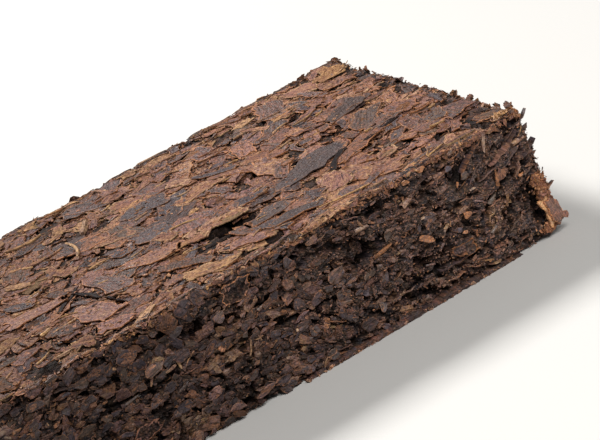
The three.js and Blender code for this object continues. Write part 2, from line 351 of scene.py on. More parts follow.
# Cracks and pits: face, u, v, long, wide, turn in degrees, deep, and True where leaf closed over it.
HOLLOWS = [
    ("top", 71, -45.6, 5.6, 4.4, 40, 1.3, True),
    ("near", 69.8, 14.2, 5, 5, 0, 1.1, True),
    ("right", -44.6, 14.2, 4, 5, 0, 1, True),
    ("near", 69.8, -14.6, 7, 4.4, 0, 2.2),
    ("right", -43.8, -14.8, 9, 4.6, 0, 2.6),
    ("base", 70, 45, 8, 6, 0, 1.6, True),
    ("top", 6.6, -20.2, 9, 4.4, 18, 5.5),
    ("top", 38.6, -23.4, 6.5, 2.2, 24, 2.4),
    ("top", 42.3, -12.6, 5.4, 1.8, 58, 2.2),
    ("top", -30.3, -13.4, 11.5, 1.9, 48, 2.8),
    ("top", -24.8, -21.2, 19.5, 1, -73, 2.2),
    ("top", 50.8, -14.6, 9.6, 0.8, 18, 1.6),
    ("top", 20.5, -1.4, 10, 0.8, -14, 1.4),
    ("top", 30.1, -6.9, 10, 0.8, 17, 1.4),
    ("top", 17.5, -22, 9, 0.8, -24, 1.4),
    ("top", 1.5, -24.6, 13, 0.9, -6, 1.6),
    ("top", -8.5, -22.6, 12, 0.9, -22, 1.6),
    ("top", -45, 4, 14, 0.9, 6, 1.4),
    ("top", -40, 27, 12, 0.9, -14, 1.4),
    ("top", 38, 24, 12, 0.9, 16, 1.4),
    ("near", 23.6, 4.7, 6, 3.8, 12, 5),
    ("near", -16.1, 8.5, 5, 3.8, -10, 4.4),
    ("near", 50.6, 8.9, 3.6, 4.2, 20, 4.2),
    ("near", -11.5, -12.4, 4.6, 1.8, 6, 2.6),
    ("near", -48, -3, 4.8, 3, 14, 3.2),
    ("near", 65.9, -7, 2.2, 10.5, -5, 4.4),
    ("near", 8, -1, 22, 0.9, -4, 1.8),
    ("near", -34, 2, 20, 0.9, -4, 1.8),
    ("near", 57, 0, 15, 0.9, 32, 1.9),
    ("near", 61, -3.5, 12, 0.8, 34, 1.8),
    ("near", 38, -8, 16, 0.8, 4, 1.6),
    ("far", -30, 3, 5.2, 3.2, 10, 3.6),
    ("far", 41, -5, 4.2, 2.8, -8, 3),
    ("far", 18, 2, 26, 0.9, -3, 1.8),
    ("far", -44, -4, 18, 0.9, 5, 1.8),
    ("right", 12, 4, 4.4, 3, 16, 3.2),
    ("right", -8, -5, 20, 0.9, 5, 1.8),
    ("left", -14, -3, 4.6, 2.8, -12, 3.4),
    ("left", 14, 3, 20, 0.9, -5, 1.8),
]


def lay_faces(seed):
    """Makes the six faces and presses the small flakes that everything else lies on."""
    for n, (name, ways) in enumerate(FACE_WAYS.items()):
        FACES[name] = face = Face(name, *ways, seed + n)
        # Mats: the area for each flake, then long, wide, level, tilt, turn and tint.
        if face.flat:
            sunk = 0.0 if name == "top" else 0.35
            mats = [(4.5, (2.5, 8), (1, 3.2), (-1.25 - sunk, -0.55 - sunk), 0.09, 45, (0.42, 0.17))]
            swellings = [(0.16, 9)]
        else:
            mats = [
                (0.7, (0.8, 2.8), (0.5, 1.4), (-1.3, -0.3), 0.3, 14, (0.25, 0.18)),
                (14, (2.4, 5.0), (0.9, 2.2), (-1.1, -0.2), 0.3, 14, (0.22, 0.18)),
            ]
            swellings = [(0.26, 3.4), (0.12, 1.6)]
        area = 4 * face.half[0] * face.half[1]
        for each, *mat in mats:
            mat_of_flakes(face, int(area / each), *mat)
        face.level += sum(high * face.swells(apart) for high, apart in swellings)
    # The press left the last 5 mm of the top a little low, where it runs out at the right end.
    top, near = FACES["top"], FACES["near"]
    top.level -= 0.8 * np.clip((top.places()[0] - (LENGTH / 2 - 5)) / 5, 0, 1) ** 2
    for face in (FACES[name] for name in SIDES):
        part_lumps(face, 3.9)
        face.tone *= face.paling(face.places()[0])
        shadow_shred(face, int(face.half[0] * 0.9))
    for name, *hollow in HOLLOWS:
        FACES[name].cut(*hollow)
    chip_edges(np.random.default_rng(seed + 9))
    # The lip covers the foot of the near side, so nothing is laid there.
    foot = -HEIGHT / 2
    (left, low), (right, high) = near.cell(LIP_FROM, foot - 1), near.cell(LIP_TO, foot + 1.1)
    near.open[int(left) : int(right), int(low) : int(high)] = True


def chip_edges(rng):
    """Chips the edges of the top and the base, on both of the faces that meet there."""
    for flat, rise in (("top", 1), ("base", -1)):
        for side in SIDES:
            lies, stands = FACES[flat], FACES[side]
            for _ in range(int(stands.half[0] * (0.2 if side == "far" else 0.5))):
                u = rng.uniform(-1, 1) * stands.half[0]
                long, wide = rng.uniform(2.5, 9), rng.uniform(1.2, 2.8)
                deep = rng.uniform(0.3, 0.9)
                stands.cut(u, rise * (HEIGHT / 2 - 0.2), long, wide, rng.normal(0, 8), deep, closed=True)
                at = stands.along * u + stands.out * (abs(stands.out @ HALF) - 0.2)
                turn = math.degrees(math.atan2(stands.along @ lies.across, stands.along @ lies.along))
                turn += rng.normal(0, 8)
                lies.cut(at @ lies.along, at @ lies.across, long, wide, turn, deep * 0.8, closed=True)


def part_lumps(face, apart):
    """Parts a side into lumps of leaf, `apart` from each other, with narrow cracks between most, painted
    dark as painted shade.
    """
    rng = face.rng
    count = int(4 * face.half[0] * face.half[1] / apart**2)
    middles = rng.uniform(-1, 1, (count, 2)) * [side + 2 for side in face.half]
    u, v = face.places()
    angle = np.radians(face.layers(u, v))
    c, s = np.cos(angle), np.sin(angle)
    u, v = u + 0.9 * face.swells(2.6), v + 0.6 * face.swells(1.9)
    first, second, owner = np.full(u.shape, 1e9), np.full(u.shape, 1e9), np.zeros(u.shape, int)
    for k, (a, b) in enumerate(middles):
        du, dv = u - a, v - b
        far = (c * du + s * dv) ** 2 + (2.1 * (c * dv - s * du)) ** 2
        owner[far < first] = k
        second = np.minimum(second, np.maximum(first, far))
        first = np.minimum(first, far)
    gap = np.sqrt(second) - np.sqrt(first)
    width = np.clip(0.3 + 0.7 * face.swells(5), 0, 0.62)
    crack = np.clip(1 - gap / np.maximum(width, 1e-3), 0, 1)
    face.level += 0.3 * np.clip(gap / 2, 0, 1) - 0.15 + 0.16 * rng.uniform(-1, 1, count)[owner]
    face.level -= 1.1 * crack**0.5
    face.batch = 0.16 * rng.normal(0, 1, count)[owner]
    face.tint = np.clip(face.tint + face.batch, 0, 1)
    # Each lump gets its own lightness; the cracks between them are painted dark: painted shade.
    face.tone *= np.where(crack > 0, 0.3, rng.uniform(0.85, 1.1, count)[owner])
    face.rim[crack > 0] = 0
    face.open |= crack > 0.45


def shadow_shred(face, count):
    """Splits a side between its layers with short thin cracks, each painted darker inside as painted
    shade.
    """
    rng = face.rng
    for _ in range(count):
        u, v = (rng.uniform(-side, side) for side in face.half)
        turn = face.layers(u, v) + rng.normal(0, 7)
        face.cut(u, v, rng.uniform(4, 13), rng.uniform(0.6, 0.9), turn, rng.uniform(1, 2.2), closed=True)


def skin(box_points):
    """Moves points of the plain box onto the leaf of its faces, and reads their tint and tone."""
    inner = HALF - EDGE
    heart = np.clip(box_points - MIDDLE, -inner, inner)
    out = box_points - MIDDLE - heart
    out /= np.linalg.norm(out, axis=1, keepdims=True)
    place = MIDDLE + heart + out * EDGE
    level, tint, tone, rim = (np.zeros(len(place)) for _ in range(4))
    for face in FACES.values():
        share = np.maximum(out @ face.out, 0) ** 2
        met = share > 1e-6
        u, v = (place[met] - face.centre) @ face.along, (place[met] - face.centre) @ face.across
        maps = ((level, face.level), (tint, face.tint), (tone, face.tone), (rim, face.rim))
        for values, grid in maps:
            values[met] += share[met] * face.read(grid, u, v)
    place += out * level[:, None]
    place[:, 2] = np.maximum(place[:, 2], 0.02)
    return place, tint, tone, rim


# ------------ meshes and materials


def add_piece(name, points, faces, material, smooth, leaf, grain):
    """Makes one piece of the brick from arrays. `leaf` holds each point's tint, tone and rim, and
    `grain` its place along and across its own leaf, with a number for the leaf. Edges that turn by
    less than `smooth` degrees are smooth."""
    mesh = bpy.data.meshes.new(name)
    mesh.from_pydata(np.asarray(points, float) * MM, [], faces)
    for title, values in (("leaf", leaf), ("grain", grain)):
        attribute = mesh.attributes.new(title, "FLOAT_VECTOR", "POINT")
        attribute.data.foreach_set("vector", np.asarray(values, np.float32).ravel())
    mesh.materials.append(material)
    if smooth:
        mesh.shade_smooth()
        mesh.set_sharp_from_angle(angle=math.radians(smooth))
    mesh.validate()
    piece = bpy.data.objects.new(name, mesh)
    bpy.context.scene.collection.objects.link(piece)
    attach(piece, "root")
    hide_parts(NODE)
    return piece


class Heap:
    """Many small closed shapes of one kind, gathered into one piece."""

    def __init__(self):
        self.points, self.faces, self.leaf, self.grain, self.count = [], [], [], [], 0

    def add(self, points, faces, leaf, grain):
        """Adds one shape. faces is a list of tuples of this shape's own point numbers."""
        self.points.append(points)
        self.leaf.append(leaf)
        self.grain.append(grain)
        self.faces.extend([tuple(i + self.count for i in face) for face in faces])
        self.count += len(points)

    def add_many(self, points, faces, leaf, grain):
        """Adds shapes that share their faces: points is shapes by points by 3."""
        shapes, each = points.shape[:2]
        start = self.count + each * np.arange(shapes)
        for corners in {len(face) for face in faces}:
            same = np.array([face for face in faces if len(face) == corners])
            self.faces.extend((same[None] + start[:, None, None]).reshape(-1, corners).tolist())
        self.points.append(points.reshape(-1, 3))
        self.leaf.append(leaf.reshape(-1, 3))
        self.grain.append(grain.reshape(-1, 3))
        self.count += shapes * each

    def piece(self, name, material, smooth=None):
        points, leaf, grain = map(np.concatenate, (self.points, self.leaf, self.grain))
        add_piece(name, points, self.faces, material, smooth, leaf, grain)


def node(tree, kind, inputs=(), **settings):
    """Adds a shader node with its settings. Its inputs come in order, or by name in a dict. Each is
    a value, or a socket or a node to link it to, of which the first output is taken."""
    made = tree.nodes.new("ShaderNode" + kind)
    for key, value in settings.items():
        setattr(made, key, value)
    for key, value in inputs.items() if isinstance(inputs, dict) else enumerate(inputs):
        source = value.outputs[0] if isinstance(value, bpy.types.Node) else value
        if isinstance(source, bpy.types.NodeSocket):
            tree.links.new(source, made.inputs[key])
        else:
            made.inputs[key].default_value = source
    return made


# Real sizes of the patterns in pressed leaf, in millimetres: fibres and wrinkles along a leaf and
# across it, the others from one to the next. The finest fibres lie closer, and are drawn this far
# apart so that they show.
FIBRE, WRINKLE = (2.6, 0.28), (3.3, 0.9)
BLOTCH, FLECK, GRIT, GRAIN, PATCH = 2.4, 0.77, 0.31, 0.59, 0.9


def fermented_leaf(
    name, tones, *, rough, mottle, streak, worn, relief, specular=0.25, crumbly=0.2, plum=1.16, ochre=0.68
):
    """Fermented tea leaf, dried and pressed: a dull waxy leaf whose tannins show as blotches and
    fibres along it, from slate to straw, with its torn rims rubbed pale. `crumbly` leaf is matted
    from grains with dark gaps between them. `plum` is how much bluer the leaf is where it browned
    least, and `ochre` how much blue is left where it browned most."""
    material = bpy.data.materials.new(name)
    material.use_nodes = True
    material.node_tree.nodes.clear()
    add = partial(node, material.node_tree)
    leaf = add("Attribute", attribute_name="leaf").outputs["Vector"]
    grain = add("Attribute", attribute_name="grain").outputs["Vector"]
    own_tint, own_tone, own_rim = add("SeparateXYZ", [leaf]).outputs
    number = add("SeparateXYZ", [grain]).outputs["Z"]
    along, crosswise = (
        add("Mapping", {"Vector": grain, "Scale": (1 / long, 1 / wide, 1)})
        for long, wide in (FIBRE, WRINKLE)
    )
    fibres, wrinkles, blotches, flecks, grit, patches = (
        add("TexNoise", {"Vector": at, "Scale": 1 / size, "Detail": detail, "Roughness": roughness})
        for at, size, detail, roughness in (
            (along, 1, 4.0, 0.6),
            (crosswise, 1, 2.0, 0.5),
            (grain, BLOTCH, 3.0, 0.55),
            (grain, FLECK, 3.0, 0.65),
            (grain, GRIT, 2.0, 0.6),
            (grain, PATCH, 4.0, 0.75),
        )
    )
    grains = add("TexVoronoi", {"Vector": grain, "Scale": 1 / GRAIN})
    tint = own_tint
    for pattern, strength in ((blotches, mottle), (flecks, mottle), (fibres, streak)):
        tint = add("Math", (pattern, strength, tint), operation="MULTIPLY_ADD")
    tint = add("Math", (tint, mottle + streak / 2), operation="SUBTRACT")
    ramp = add("ValToRGB", [tint])
    stops = ramp.color_ramp.elements
    while len(stops) < len(tones):
        stops.new(0.5)
    for stop, (at, tone) in zip(stops, tones, strict=True):
        stop.position, stop.color = at, (*tone, 1)
    # The leaf browned unevenly: each leaf, and patches of it, lean to plum or to ochre.
    each = add("TexNoise", {"W": number, "Scale": 1.0}, noise_dimensions="1D")
    browning = add("Math", (each, 0.8, patches), operation="MULTIPLY_ADD")
    browned = add("MapRange", (browning, 0.76, 1.04, 0, 1))
    plums, ochres = (1.7 - 0.6 * plum, 1.0, plum, 1), (1.46 - 0.46 * ochre, 1.0, ochre, 1)
    lean = add("Mix", {0: browned, 6: plums, 7: ochres}, data_type="RGBA").outputs[2]
    leaning = add("VectorMath", (ramp, lean), operation="MULTIPLY")
    # What each pattern does to the leaf: between which of its values, and how much at either end.
    rub, pitted, creased, gritty, parted, matt = (
        add("MapRange", limits)
        for limits in (
            (grit, 0.36, 0.58, 0.1, 0.95),
            (flecks, 0.34, 0.56, 0.72 - 0.3 * crumbly, 1.06),
            (fibres, 0.33, 0.45, 0.5, 1.04),
            (grit, 0.34, 0.66, 0.74, 1.24),
            (grains, 0.2, 0.66, 1 + 0.25 * crumbly, 1 - 0.8 * crumbly),
            (blotches, 0.35, 0.65, *rough),
        )
    )
    rub = add("Math", (own_rim, rub), operation="MULTIPLY")
    rubbed = add("Mix", {0: rub, 6: leaning, 7: (*worn, 1)}, data_type="RGBA").outputs[2]
    tone = own_tone
    for shade in (pitted, creased, gritty, parted):
        tone = add("Math", (tone, shade), operation="MULTIPLY")
    toned = add("VectorMath", {0: rubbed, "Scale": tone}, operation="SCALE")
    height = flecks
    for pattern, high in ((wrinkles, 1.8), (fibres, 0.5), (grains, -1.6 * crumbly)):
        height = add("Math", (pattern, high, height), operation="MULTIPLY_ADD")
    bump = add("Bump", {"Height": height, "Strength": 0.8, "Distance": relief * MM})
    # The sheen follows the leaf's tone, so it is weaker on darker leaf and all but gone where the tone
    # holds painted shade, deep in cracks and pits.
    sheen = add("Math", (own_tone, specular), operation="MULTIPLY")
    sheen = add("Math", (sheen, 1.0), operation="MINIMUM")
    # The skin of a leaf is waxy: 1.47 is a typical value for its wax.
    look = {"Base Color": toned, "Roughness": matt, "IOR": 1.47, "Specular IOR Level": sheen}
    shader = add("BsdfPrincipled", {**look, "Normal": bump})
    # for an export that drops the link
    shader.inputs["Specular IOR Level"].default_value = specular  # the same level on the socket itself, used where the link isn't followed
    add("OutputMaterial", [shader])
    return material


def leaf_tones(colours, dull=0.0):
    """The run of leaf colours from the darkest to the palest. `dull` greys the paler ones."""
    tones = [
        (0.0, colours.slate),
        (0.3, colours.umber),
        (0.55, colours.russet),
        (0.8, colours.fawn),
        (1.0, colours.straw),
    ]
    return [(at, [c + dull * at * (sum(tone) / 3 - c) for c in tone]) for at, tone in tones]


SIDE_DULLNESS = 0.3  # torn leaf is greyer than the pressed faces


def compressed_dust_and_painted_shade(colours):
    """The matted fine stuff between the leaves: dull dark dust, painted almost black because it shows
    only in the gaps, as painted shade.
    """
    tones = [(0.1, colours.shade), (0.8, colours.umber), (1.0, colours.russet)]
    look = {"rough": (0.7, 0.9), "mottle": 1.3, "streak": 1.2, "relief": 0.6}
    return fermented_leaf("compressed_dust_and_painted_shade", tones, worn=colours.umber, **look)


def broken_leaf_layers(colours):
    """The torn edges of the layers: darker than the pressed faces and less rubbed."""
    tones = leaf_tones(colours, SIDE_DULLNESS)[:4]
    look = {"rough": (0.45, 0.75), "mottle": 0.9, "streak": 0.9, "relief": 0.6}
    return fermented_leaf(
        "broken_leaf_layers", tones, worn=colours.fawn, specular=0.45, crumbly=0.8, **look
    )


def russet_tea_leaf(colours):
    """Leaf pressed flat against the mould: it keeps its colour and a dull waxy skin."""
    look = {"rough": (0.5, 0.72), "mottle": 0.75, "streak": 0.7, "relief": 0.5, "crumbly": 0.3}
    return fermented_leaf("russet_tea_leaf", leaf_tones(colours), worn=colours.rim, **look)


def slate_tea_leaf(colours):
    """Thick leaf that fermented longest: slate dark, with the cool sheen of its smooth upper skin."""
    look = {"rough": (0.42, 0.6), "mottle": 0.6, "streak": 0.9, "relief": 0.5, "specular": 0.33}
    return fermented_leaf(
        "slate_tea_leaf", leaf_tones(colours), worn=colours.rim, plum=1.08, ochre=0.88, **look
    )


def fawn_tea_leaf(colours):
    """Old coarse leaf: pale, dry and fibrous, with almost no shine."""
    look = {"rough": (0.62, 0.85), "mottle": 0.8, "streak": 0.9, "relief": 0.5, "specular": 0.18}
    return fermented_leaf(
        "fawn_tea_leaf", leaf_tones(colours), worn=colours.straw, plum=1.1, ochre=0.78, **look
    )


def crumbled_tea_leaf(colours):
    """Bits of leaf too small to lie flat: dull, torn all round and of every colour."""
    look = {"rough": (0.55, 0.8), "mottle": 0.8, "streak": 0.8, "relief": 0.3}
    return fermented_leaf("crumbled_tea_leaf", leaf_tones(colours), worn=colours.rim, **look)


def torn_leaf(name, colours, **look):
    """Leaf broken out of the sides: greyer, with its colours further apart and torn rims."""
    tones = leaf_tones(colours, SIDE_DULLNESS)
    return fermented_leaf(name, tones, worn=colours.rim, plum=1.2, ochre=0.73, **look)


def broken_leaf_flakes(colours):
    """Small flakes: a little grainy, with a glint where their skin is whole."""
    look = {"rough": (0.36, 0.66), "mottle": 0.7, "streak": 0.8, "relief": 0.45}
    return torn_leaf("broken_leaf_flakes", colours, specular=0.5, crumbly=0.3, **look)


def broken_leaf_scales(colours):
    """Larger flakes: they keep the smooth skin of the leaf, dull and a little waxy."""
    look = {"rough": (0.42, 0.62), "mottle": 0.55, "streak": 0.7, "relief": 0.4}
    return torn_leaf("broken_leaf_scales", colours, specular=0.4, crumbly=0.1, **look)


def leaf_seen_edge_on(colours):
    """Layers of leaf cut through: streaked along their length, with a rubbed brink."""
    look = {"rough": (0.45, 0.7), "mottle": 0.8, "streak": 1.0, "relief": 0.5}
    return torn_leaf("leaf_seen_edge_on", colours, specular=0.4, **look)


def rolled_tea_leaf(colours):
    """Young leaf, rolled tight and smooth: it glints where it turns to the light."""
    tones = leaf_tones(colours, SIDE_DULLNESS)
    look = {"rough": (0.32, 0.55), "mottle": 0.8, "streak": 0.9, "relief": 0.3, "specular": 0.6}
    return fermented_leaf("rolled_tea_leaf", tones, worn=colours.fawn, **look)


def dried_tea_stem(colours):
    """Tea stem: woody, straw to orange brown, ridged along its length and dry."""
    look = {"rough": (0.6, 0.8), "mottle": 0.8, "streak": 1.2, "relief": 0.4}
    return fermented_leaf("dried_tea_stem", leaf_tones(colours), worn=colours.straw, **look)


def leaf_and_stem_dust(colours):
    """Specks of broken leaf and stem: dull and mostly pale."""
    look = {"rough": (0.55, 0.8), "mottle": 0.5, "streak": 0.6, "relief": 0.2}
    return fermented_leaf("leaf_and_stem_dust", leaf_tones(colours), worn=colours.straw, **look)


def mould_pressed_skin(colours):
    """Leaf squeezed smooth by the mould's corner: thin and faintly polished."""
    look = {"rough": (0.42, 0.6), "mottle": 0.8, "streak": 1.2, "relief": 0.45}
    return fermented_leaf("mould_pressed_skin", leaf_tones(colours), worn=colours.fawn, **look)


def dry_leaf_crust(colours):
    """The right end's own pressed skin: pale, dry and cracked where it has come away."""
    look = {"rough": (0.55, 0.8), "mottle": 0.5, "streak": 0.5, "relief": 0.5}
    return fermented_leaf(
        "dry_leaf_crust", leaf_tones(colours), worn=colours.rim, plum=1.11, ochre=0.74, **look
    )


# ------------ leaf, flake, roll and stalk shapes

LEAF_ALONG = np.array([0, 0.04, 0.13, 0.25, 0.38, 0.5, 0.62, 0.75, 0.87, 0.96, 1])
LEAF_ACROSS = np.array([-1, -0.84, -0.3, 0.3, 0.84, 1])


def leaf_faces(columns, rows):
    """Faces of a closed thin plate: its upper grid, its rim, and a lower side of long strips."""
    top = [
        (i * rows + j, (i + 1) * rows + j, (i + 1) * rows + j + 1, i * rows + j + 1)
        for i in range(columns - 1)
        for j in range(rows - 1)
    ]
    rim = (
        [(i, 0) for i in range(columns)]
        + [(columns - 1, j) for j in range(1, rows)]
        + [(i, rows - 1) for i in range(columns - 2, -1, -1)]
        + [(0, j) for j in range(rows - 2, 0, -1)]
    )
    upper = [i * rows + j for i, j in rim]
    start, around = columns * rows, len(rim)
    lower = {at: start + n for n, at in enumerate(rim)}
    walls = [
        (upper[(n + 1) % around], upper[n], start + n, start + (n + 1) % around)
        for n in range(around)
    ]
    last = rows - 1
    under = [
        (lower[i, 0], lower[i, last], lower[i + 1, last], lower[i + 1, 0])
        for i in range(1, columns - 2)
    ]
    far = columns - 1
    under.append((*(lower[0, j] for j in range(rows)), lower[1, last], lower[1, 0]))
    torn_end = [lower[far, j] for j in reversed(range(rows))]
    under.append((*torn_end, lower[far - 1, 0], lower[far - 1, last]))
    return top + walls + under, tuple(np.transpose(rim))


LEAF_FACES, LEAF_RIM = leaf_faces(len(LEAF_ALONG), len(LEAF_ACROSS))


def leaf_outline(rng, long, wide):
    """A leaf fragment's grid, along and across: a blade with wandering sides, torn off at the ends."""
    first, last = rng.uniform(0.06, 0.42), 1 - rng.uniform(0.06, 0.42)
    run = np.clip(first + (last - first) * LEAF_ALONG, 0.012, 0.988)
    swell, fullness = rng.uniform(0.8, 1.25), rng.uniform(0.45, 0.8)
    profile = np.sin(math.pi * run**swell) ** fullness
    profile *= 0.5 * wide / profile.max()
    columns = len(LEAF_ALONG)
    sides = [
        profile * (1 + 0.26 * smooth_noise(rng, columns, 6) + 0.17 * rng.uniform(-1, 1, columns))
        for _ in range(2)
    ]
    bend = rng.normal(0, 0.07) * long * (LEAF_ALONG - 0.5) ** 2 * 4
    left, right = (LEAF_ACROSS * side[:, None] for side in sides)
    across = np.where(LEAF_ACROSS < 0, left, right) + bend[:, None]
    tear, tear_back = rng.uniform(-1, 1, (2, len(LEAF_ACROSS))) * 0.2 * wide
    slant = rng.normal(0, 0.3) * LEAF_ACROSS * profile[-1]
    along = (LEAF_ALONG[:, None] - 0.5) * long
    along = along + (tear + slant)[None] * LEAF_ALONG[:, None] ** 9
    along = along + tear_back[None] * (1 - LEAF_ALONG[:, None]) ** 9
    return along, across


def draped(under, depth):
    """How high a leaf lies on what is under it: it is stiff, so it bridges dips and rests on lumps."""
    long, wide = under.shape
    padded = np.pad(under, 1, mode="edge")
    highest = np.max([padded[i : i + long, j : j + wide] for i in range(3) for j in range(3)], 0)
    near = np.pad(highest, 1, mode="edge")
    stiff = (near[:-2, 1:-1] + near[2:, 1:-1] + near[1:-1, :-2] + near[1:-1, 2:] + 2 * highest) / 6
    return np.maximum(0.6 * stiff + 0.4 * under, 0.5 * (under.mean() + stiff)) + depth


def raise_map(face, uu, vv, high):
    """Raises a face's map over a leaf's whole outline, sampled more finely than its grid. Returns
    the cells that the leaf covers."""
    a, b = (np.linspace(0, side - 1.001, count) for side, count in zip(uu.shape, (40, 24), strict=True))
    i, j = a.astype(int)[:, None], b.astype(int)[None]
    f, g = a[:, None] - i, b[None] - j
    cells = face.cell(blended(uu, i, j, f, g), blended(vv, i, j, f, g))
    x, y = (
        np.clip(np.rint(at).astype(int), 0, side - 1)
        for at, side in zip(cells, face.level.shape, strict=True)
    )
    np.maximum.at(face.level, (x, y), blended(high, i, j, f, g))
    return x, y


def lay_leaf(face, heap, long, wide, u, v, turn, *, depth, tint, tone, lift=None, bold=False):
    """Drapes one piece of leaf over what already lies on a face, and presses it into the map. Only
    a bold one is laid over a crack or a pit."""
    rng = face.rng
    along, across = leaf_outline(rng, long, wide)
    c, s = math.cos(turn), math.sin(turn)
    uu, vv = u + c * along - s * across, v + s * along + c * across
    if face.flat:  # leaf breaks off where the face ends
        brink = rng.uniform(-1.3, 0.4) + rng.uniform(-0.4, 0.3, along.shape)
        uu = np.clip(uu, -face.half[0] - brink, face.half[0] + brink)
        vv = np.clip(vv, -face.half[1] - brink, face.half[1] + brink)
    if not bold and face.read(face.open.astype(float), uu, vv).mean() > 0.1:
        return
    under = face.read(face.level, uu, vv)
    high = draped(under, depth)
    if bold and not face.flat:
        high = np.full(under.shape, np.percentile(under, 80) + depth)
    side, end = (-1, 1) if bold else (rng.choice([-1, 1]), rng.integers(0, 2))
    strong = 3.2 if rng.uniform() < 0.26 else 1
    curl, tip = np.abs(rng.normal(0, 0.09, 2)) * strong if lift is None else lift
    high = high + curl * np.clip(LEAF_ACROSS * side, 0, 1)[None] ** 3
    high = high + tip * (LEAF_ALONG if end else 1 - LEAF_ALONG)[:, None] ** 4
    ripple = smooth_noise(rng, len(LEAF_ALONG), 5)[:, None] * LEAF_ACROSS[None] ** 2
    high = high + 0.09 * ripple
    high = np.where(high > face.limit, face.limit + (high - face.limit) * 0.35, high)
    if face.name == "base":
        high = np.minimum(high, -0.03 - rng.uniform(0, 0.05))
    points, out = face.point(uu, vv, high)
    lower = points[LEAF_RIM] - out[LEAF_RIM] * (depth * 1.25)
    points[..., 2] = np.maximum(points[..., 2], 0.06)
    lower[:, 2] = np.maximum(lower[:, 2], 0.03)
    rubbed = np.clip(rng.uniform(0.3, 1.1) + 0.5 * smooth_noise(rng, len(lower), 9), 0, 1)
    rim = np.zeros(along.shape)
    rim[LEAF_RIM] = rubbed
    leaf = np.tile([tint, tone, 0.0], (along.size + len(lower), 1))
    leaf[:, 2] = 1.6 * np.concatenate([rim.ravel(), rubbed])
    # The under side and the walls of each leaf are painted half as light: painted shade under and along
    # its edge.
    leaf[along.size :, 1] *= 0.5
    grain = np.stack([along, across, np.full(along.shape, rng.uniform(0, LEAF_NUMBERS))], -1)
    grain = np.concatenate([grain.reshape(-1, 3), grain[LEAF_RIM]])
    heap.add(np.concatenate([points.reshape(-1, 3), lower]), LEAF_FACES, leaf, grain)
    covered = raise_map(face, uu, vv, high)
    if bold and not face.flat:
        face.open[covered] = True


def turned(rolls, pitches, turns):
    """Rotations about the long axis, the short axis and the face's way out, as count by 3 by 3."""
    count = len(turns)
    made = np.zeros((3, count, 3, 3))
    for k, (angles, i, j) in enumerate(((rolls, 1, 2), (pitches, 2, 0), (turns, 0, 1))):
        c, s = np.cos(angles), np.sin(angles)
        made[k, :, range(3), range(3)] = 1
        made[k, :, i, i], made[k, :, j, j] = c, c
        made[k, :, i, j], made[k, :, j, i] = -s, s
    return made[2] @ made[1] @ made[0]


def scatter(face, count, rng, margin=1.0, clear=0.0):
    """Places spread over a face, by a loose grid, and where the leaf there lies. None lies within
    `clear` of a pit, along the face."""
    long, wide = face.half[0] + margin, face.half[1] + margin
    columns = max(1, round(math.sqrt(count * long / wide)))
    rows = max(1, round(count / columns))
    i, j = np.meshgrid(np.arange(columns), np.arange(rows), indexing="ij")
    u = ((i.ravel() + rng.uniform(0, 1, i.size)) / columns * 2 - 1) * long
    v = ((j.ravel() + rng.uniform(0, 1, i.size)) / rows * 2 - 1) * wide
    pits = face.open.astype(float)
    shut = np.max([face.read(pits, u + way * clear, v) for way in (-1, 0, 1)], 0) < 0.4
    u, v = u[shut], v[shut]
    return u, v, face.read(face.level, u, v)


def stand(face, shapes, u, v, high, rolls, pitches, turns):
    """Sets shapes (count by points by 3) on a face, each turned its own way."""
    shapes = np.einsum("nij,nkj->nki", turned(rolls, pitches, turns), shapes)
    centre, out = face.point(u, v, high)
    along = face.along - out * (out @ face.along)[:, None]
    along /= np.linalg.norm(along, axis=1, keepdims=True)
    across = np.cross(out, along)
    made = (
        centre[:, None]
        + shapes[..., :1] * along[:, None]
        + shapes[..., 1:2] * across[:, None]
        + shapes[..., 2:] * out[:, None]
    )
    made[..., 2] = np.maximum(made[..., 2], 0.02)
    return made


def fan_faces(start, corners, tip):
    """Triangles from each side of a ring of points to a tip."""
    return [(start + i, start + (i + 1) % corners, tip) for i in range(corners)]


def band_faces(rings, sides, closed=False):
    """Four-cornered faces between rings of points, each with the next, and the last with the first
    if the band is closed."""
    faces = []
    for k in range(rings if closed else rings - 1):
        low, high = k * sides, (k + 1) % rings * sides
        for n in range(sides):
            after = (n + 1) % sides
            faces.append((low + n, low + after, high + after, high + n))
    return faces


def tube_faces(rings, sides):
    """Faces of a closed tube of rings, capped at both ends."""
    last = (rings - 1) * sides
    caps = [tuple(reversed(range(sides))), tuple(last + n for n in range(sides))]
    return band_faces(rings, sides) + caps


FLAKE_CORNERS, SCALE_CORNERS = 6, 12
FLAKE_FACES = fan_faces(0, FLAKE_CORNERS, FLAKE_CORNERS)
FLAKE_FACES += [(j, i, tip) for i, j, tip in fan_faces(0, FLAKE_CORNERS, FLAKE_CORNERS + 1)]
SCALE_FACES = [
    *band_faces(2, SCALE_CORNERS),
    *fan_faces(SCALE_CORNERS, SCALE_CORNERS, 2 * SCALE_CORNERS),
    tuple(reversed(range(SCALE_CORNERS))),
]


def flake_shapes(rng, long, wide, thick, curl):
    """Small broken flakes: a six-cornered rim with a raised middle on both sides, bent and uneven."""
    count, corners = len(long), FLAKE_CORNERS
    angle = np.arange(corners) / corners * 2 * math.pi + rng.uniform(-0.4, 0.4, (count, corners))
    reach = rng.uniform(0.5, 1.15, (count, corners))
    shapes = np.zeros((count, corners + 2, 3))
    shapes[:, :corners, 0] = np.cos(angle) * reach * long[:, None] / 2
    shapes[:, :corners, 1] = np.sin(angle) * reach * wide[:, None] / 2
    bent = curl[:, None] * shapes[:, :corners, 1] ** 2 / wide[:, None]
    shapes[:, :corners, 2] = bent + rng.normal(0, 0.06, (count, corners))
    shapes[:, corners:, :2] = rng.uniform(-0.1, 0.1, (count, 1, 2)) * wide[:, None, None]
    shapes[:, corners, 2], shapes[:, corners + 1, 2] = thick / 2, -thick / 2
    return shapes


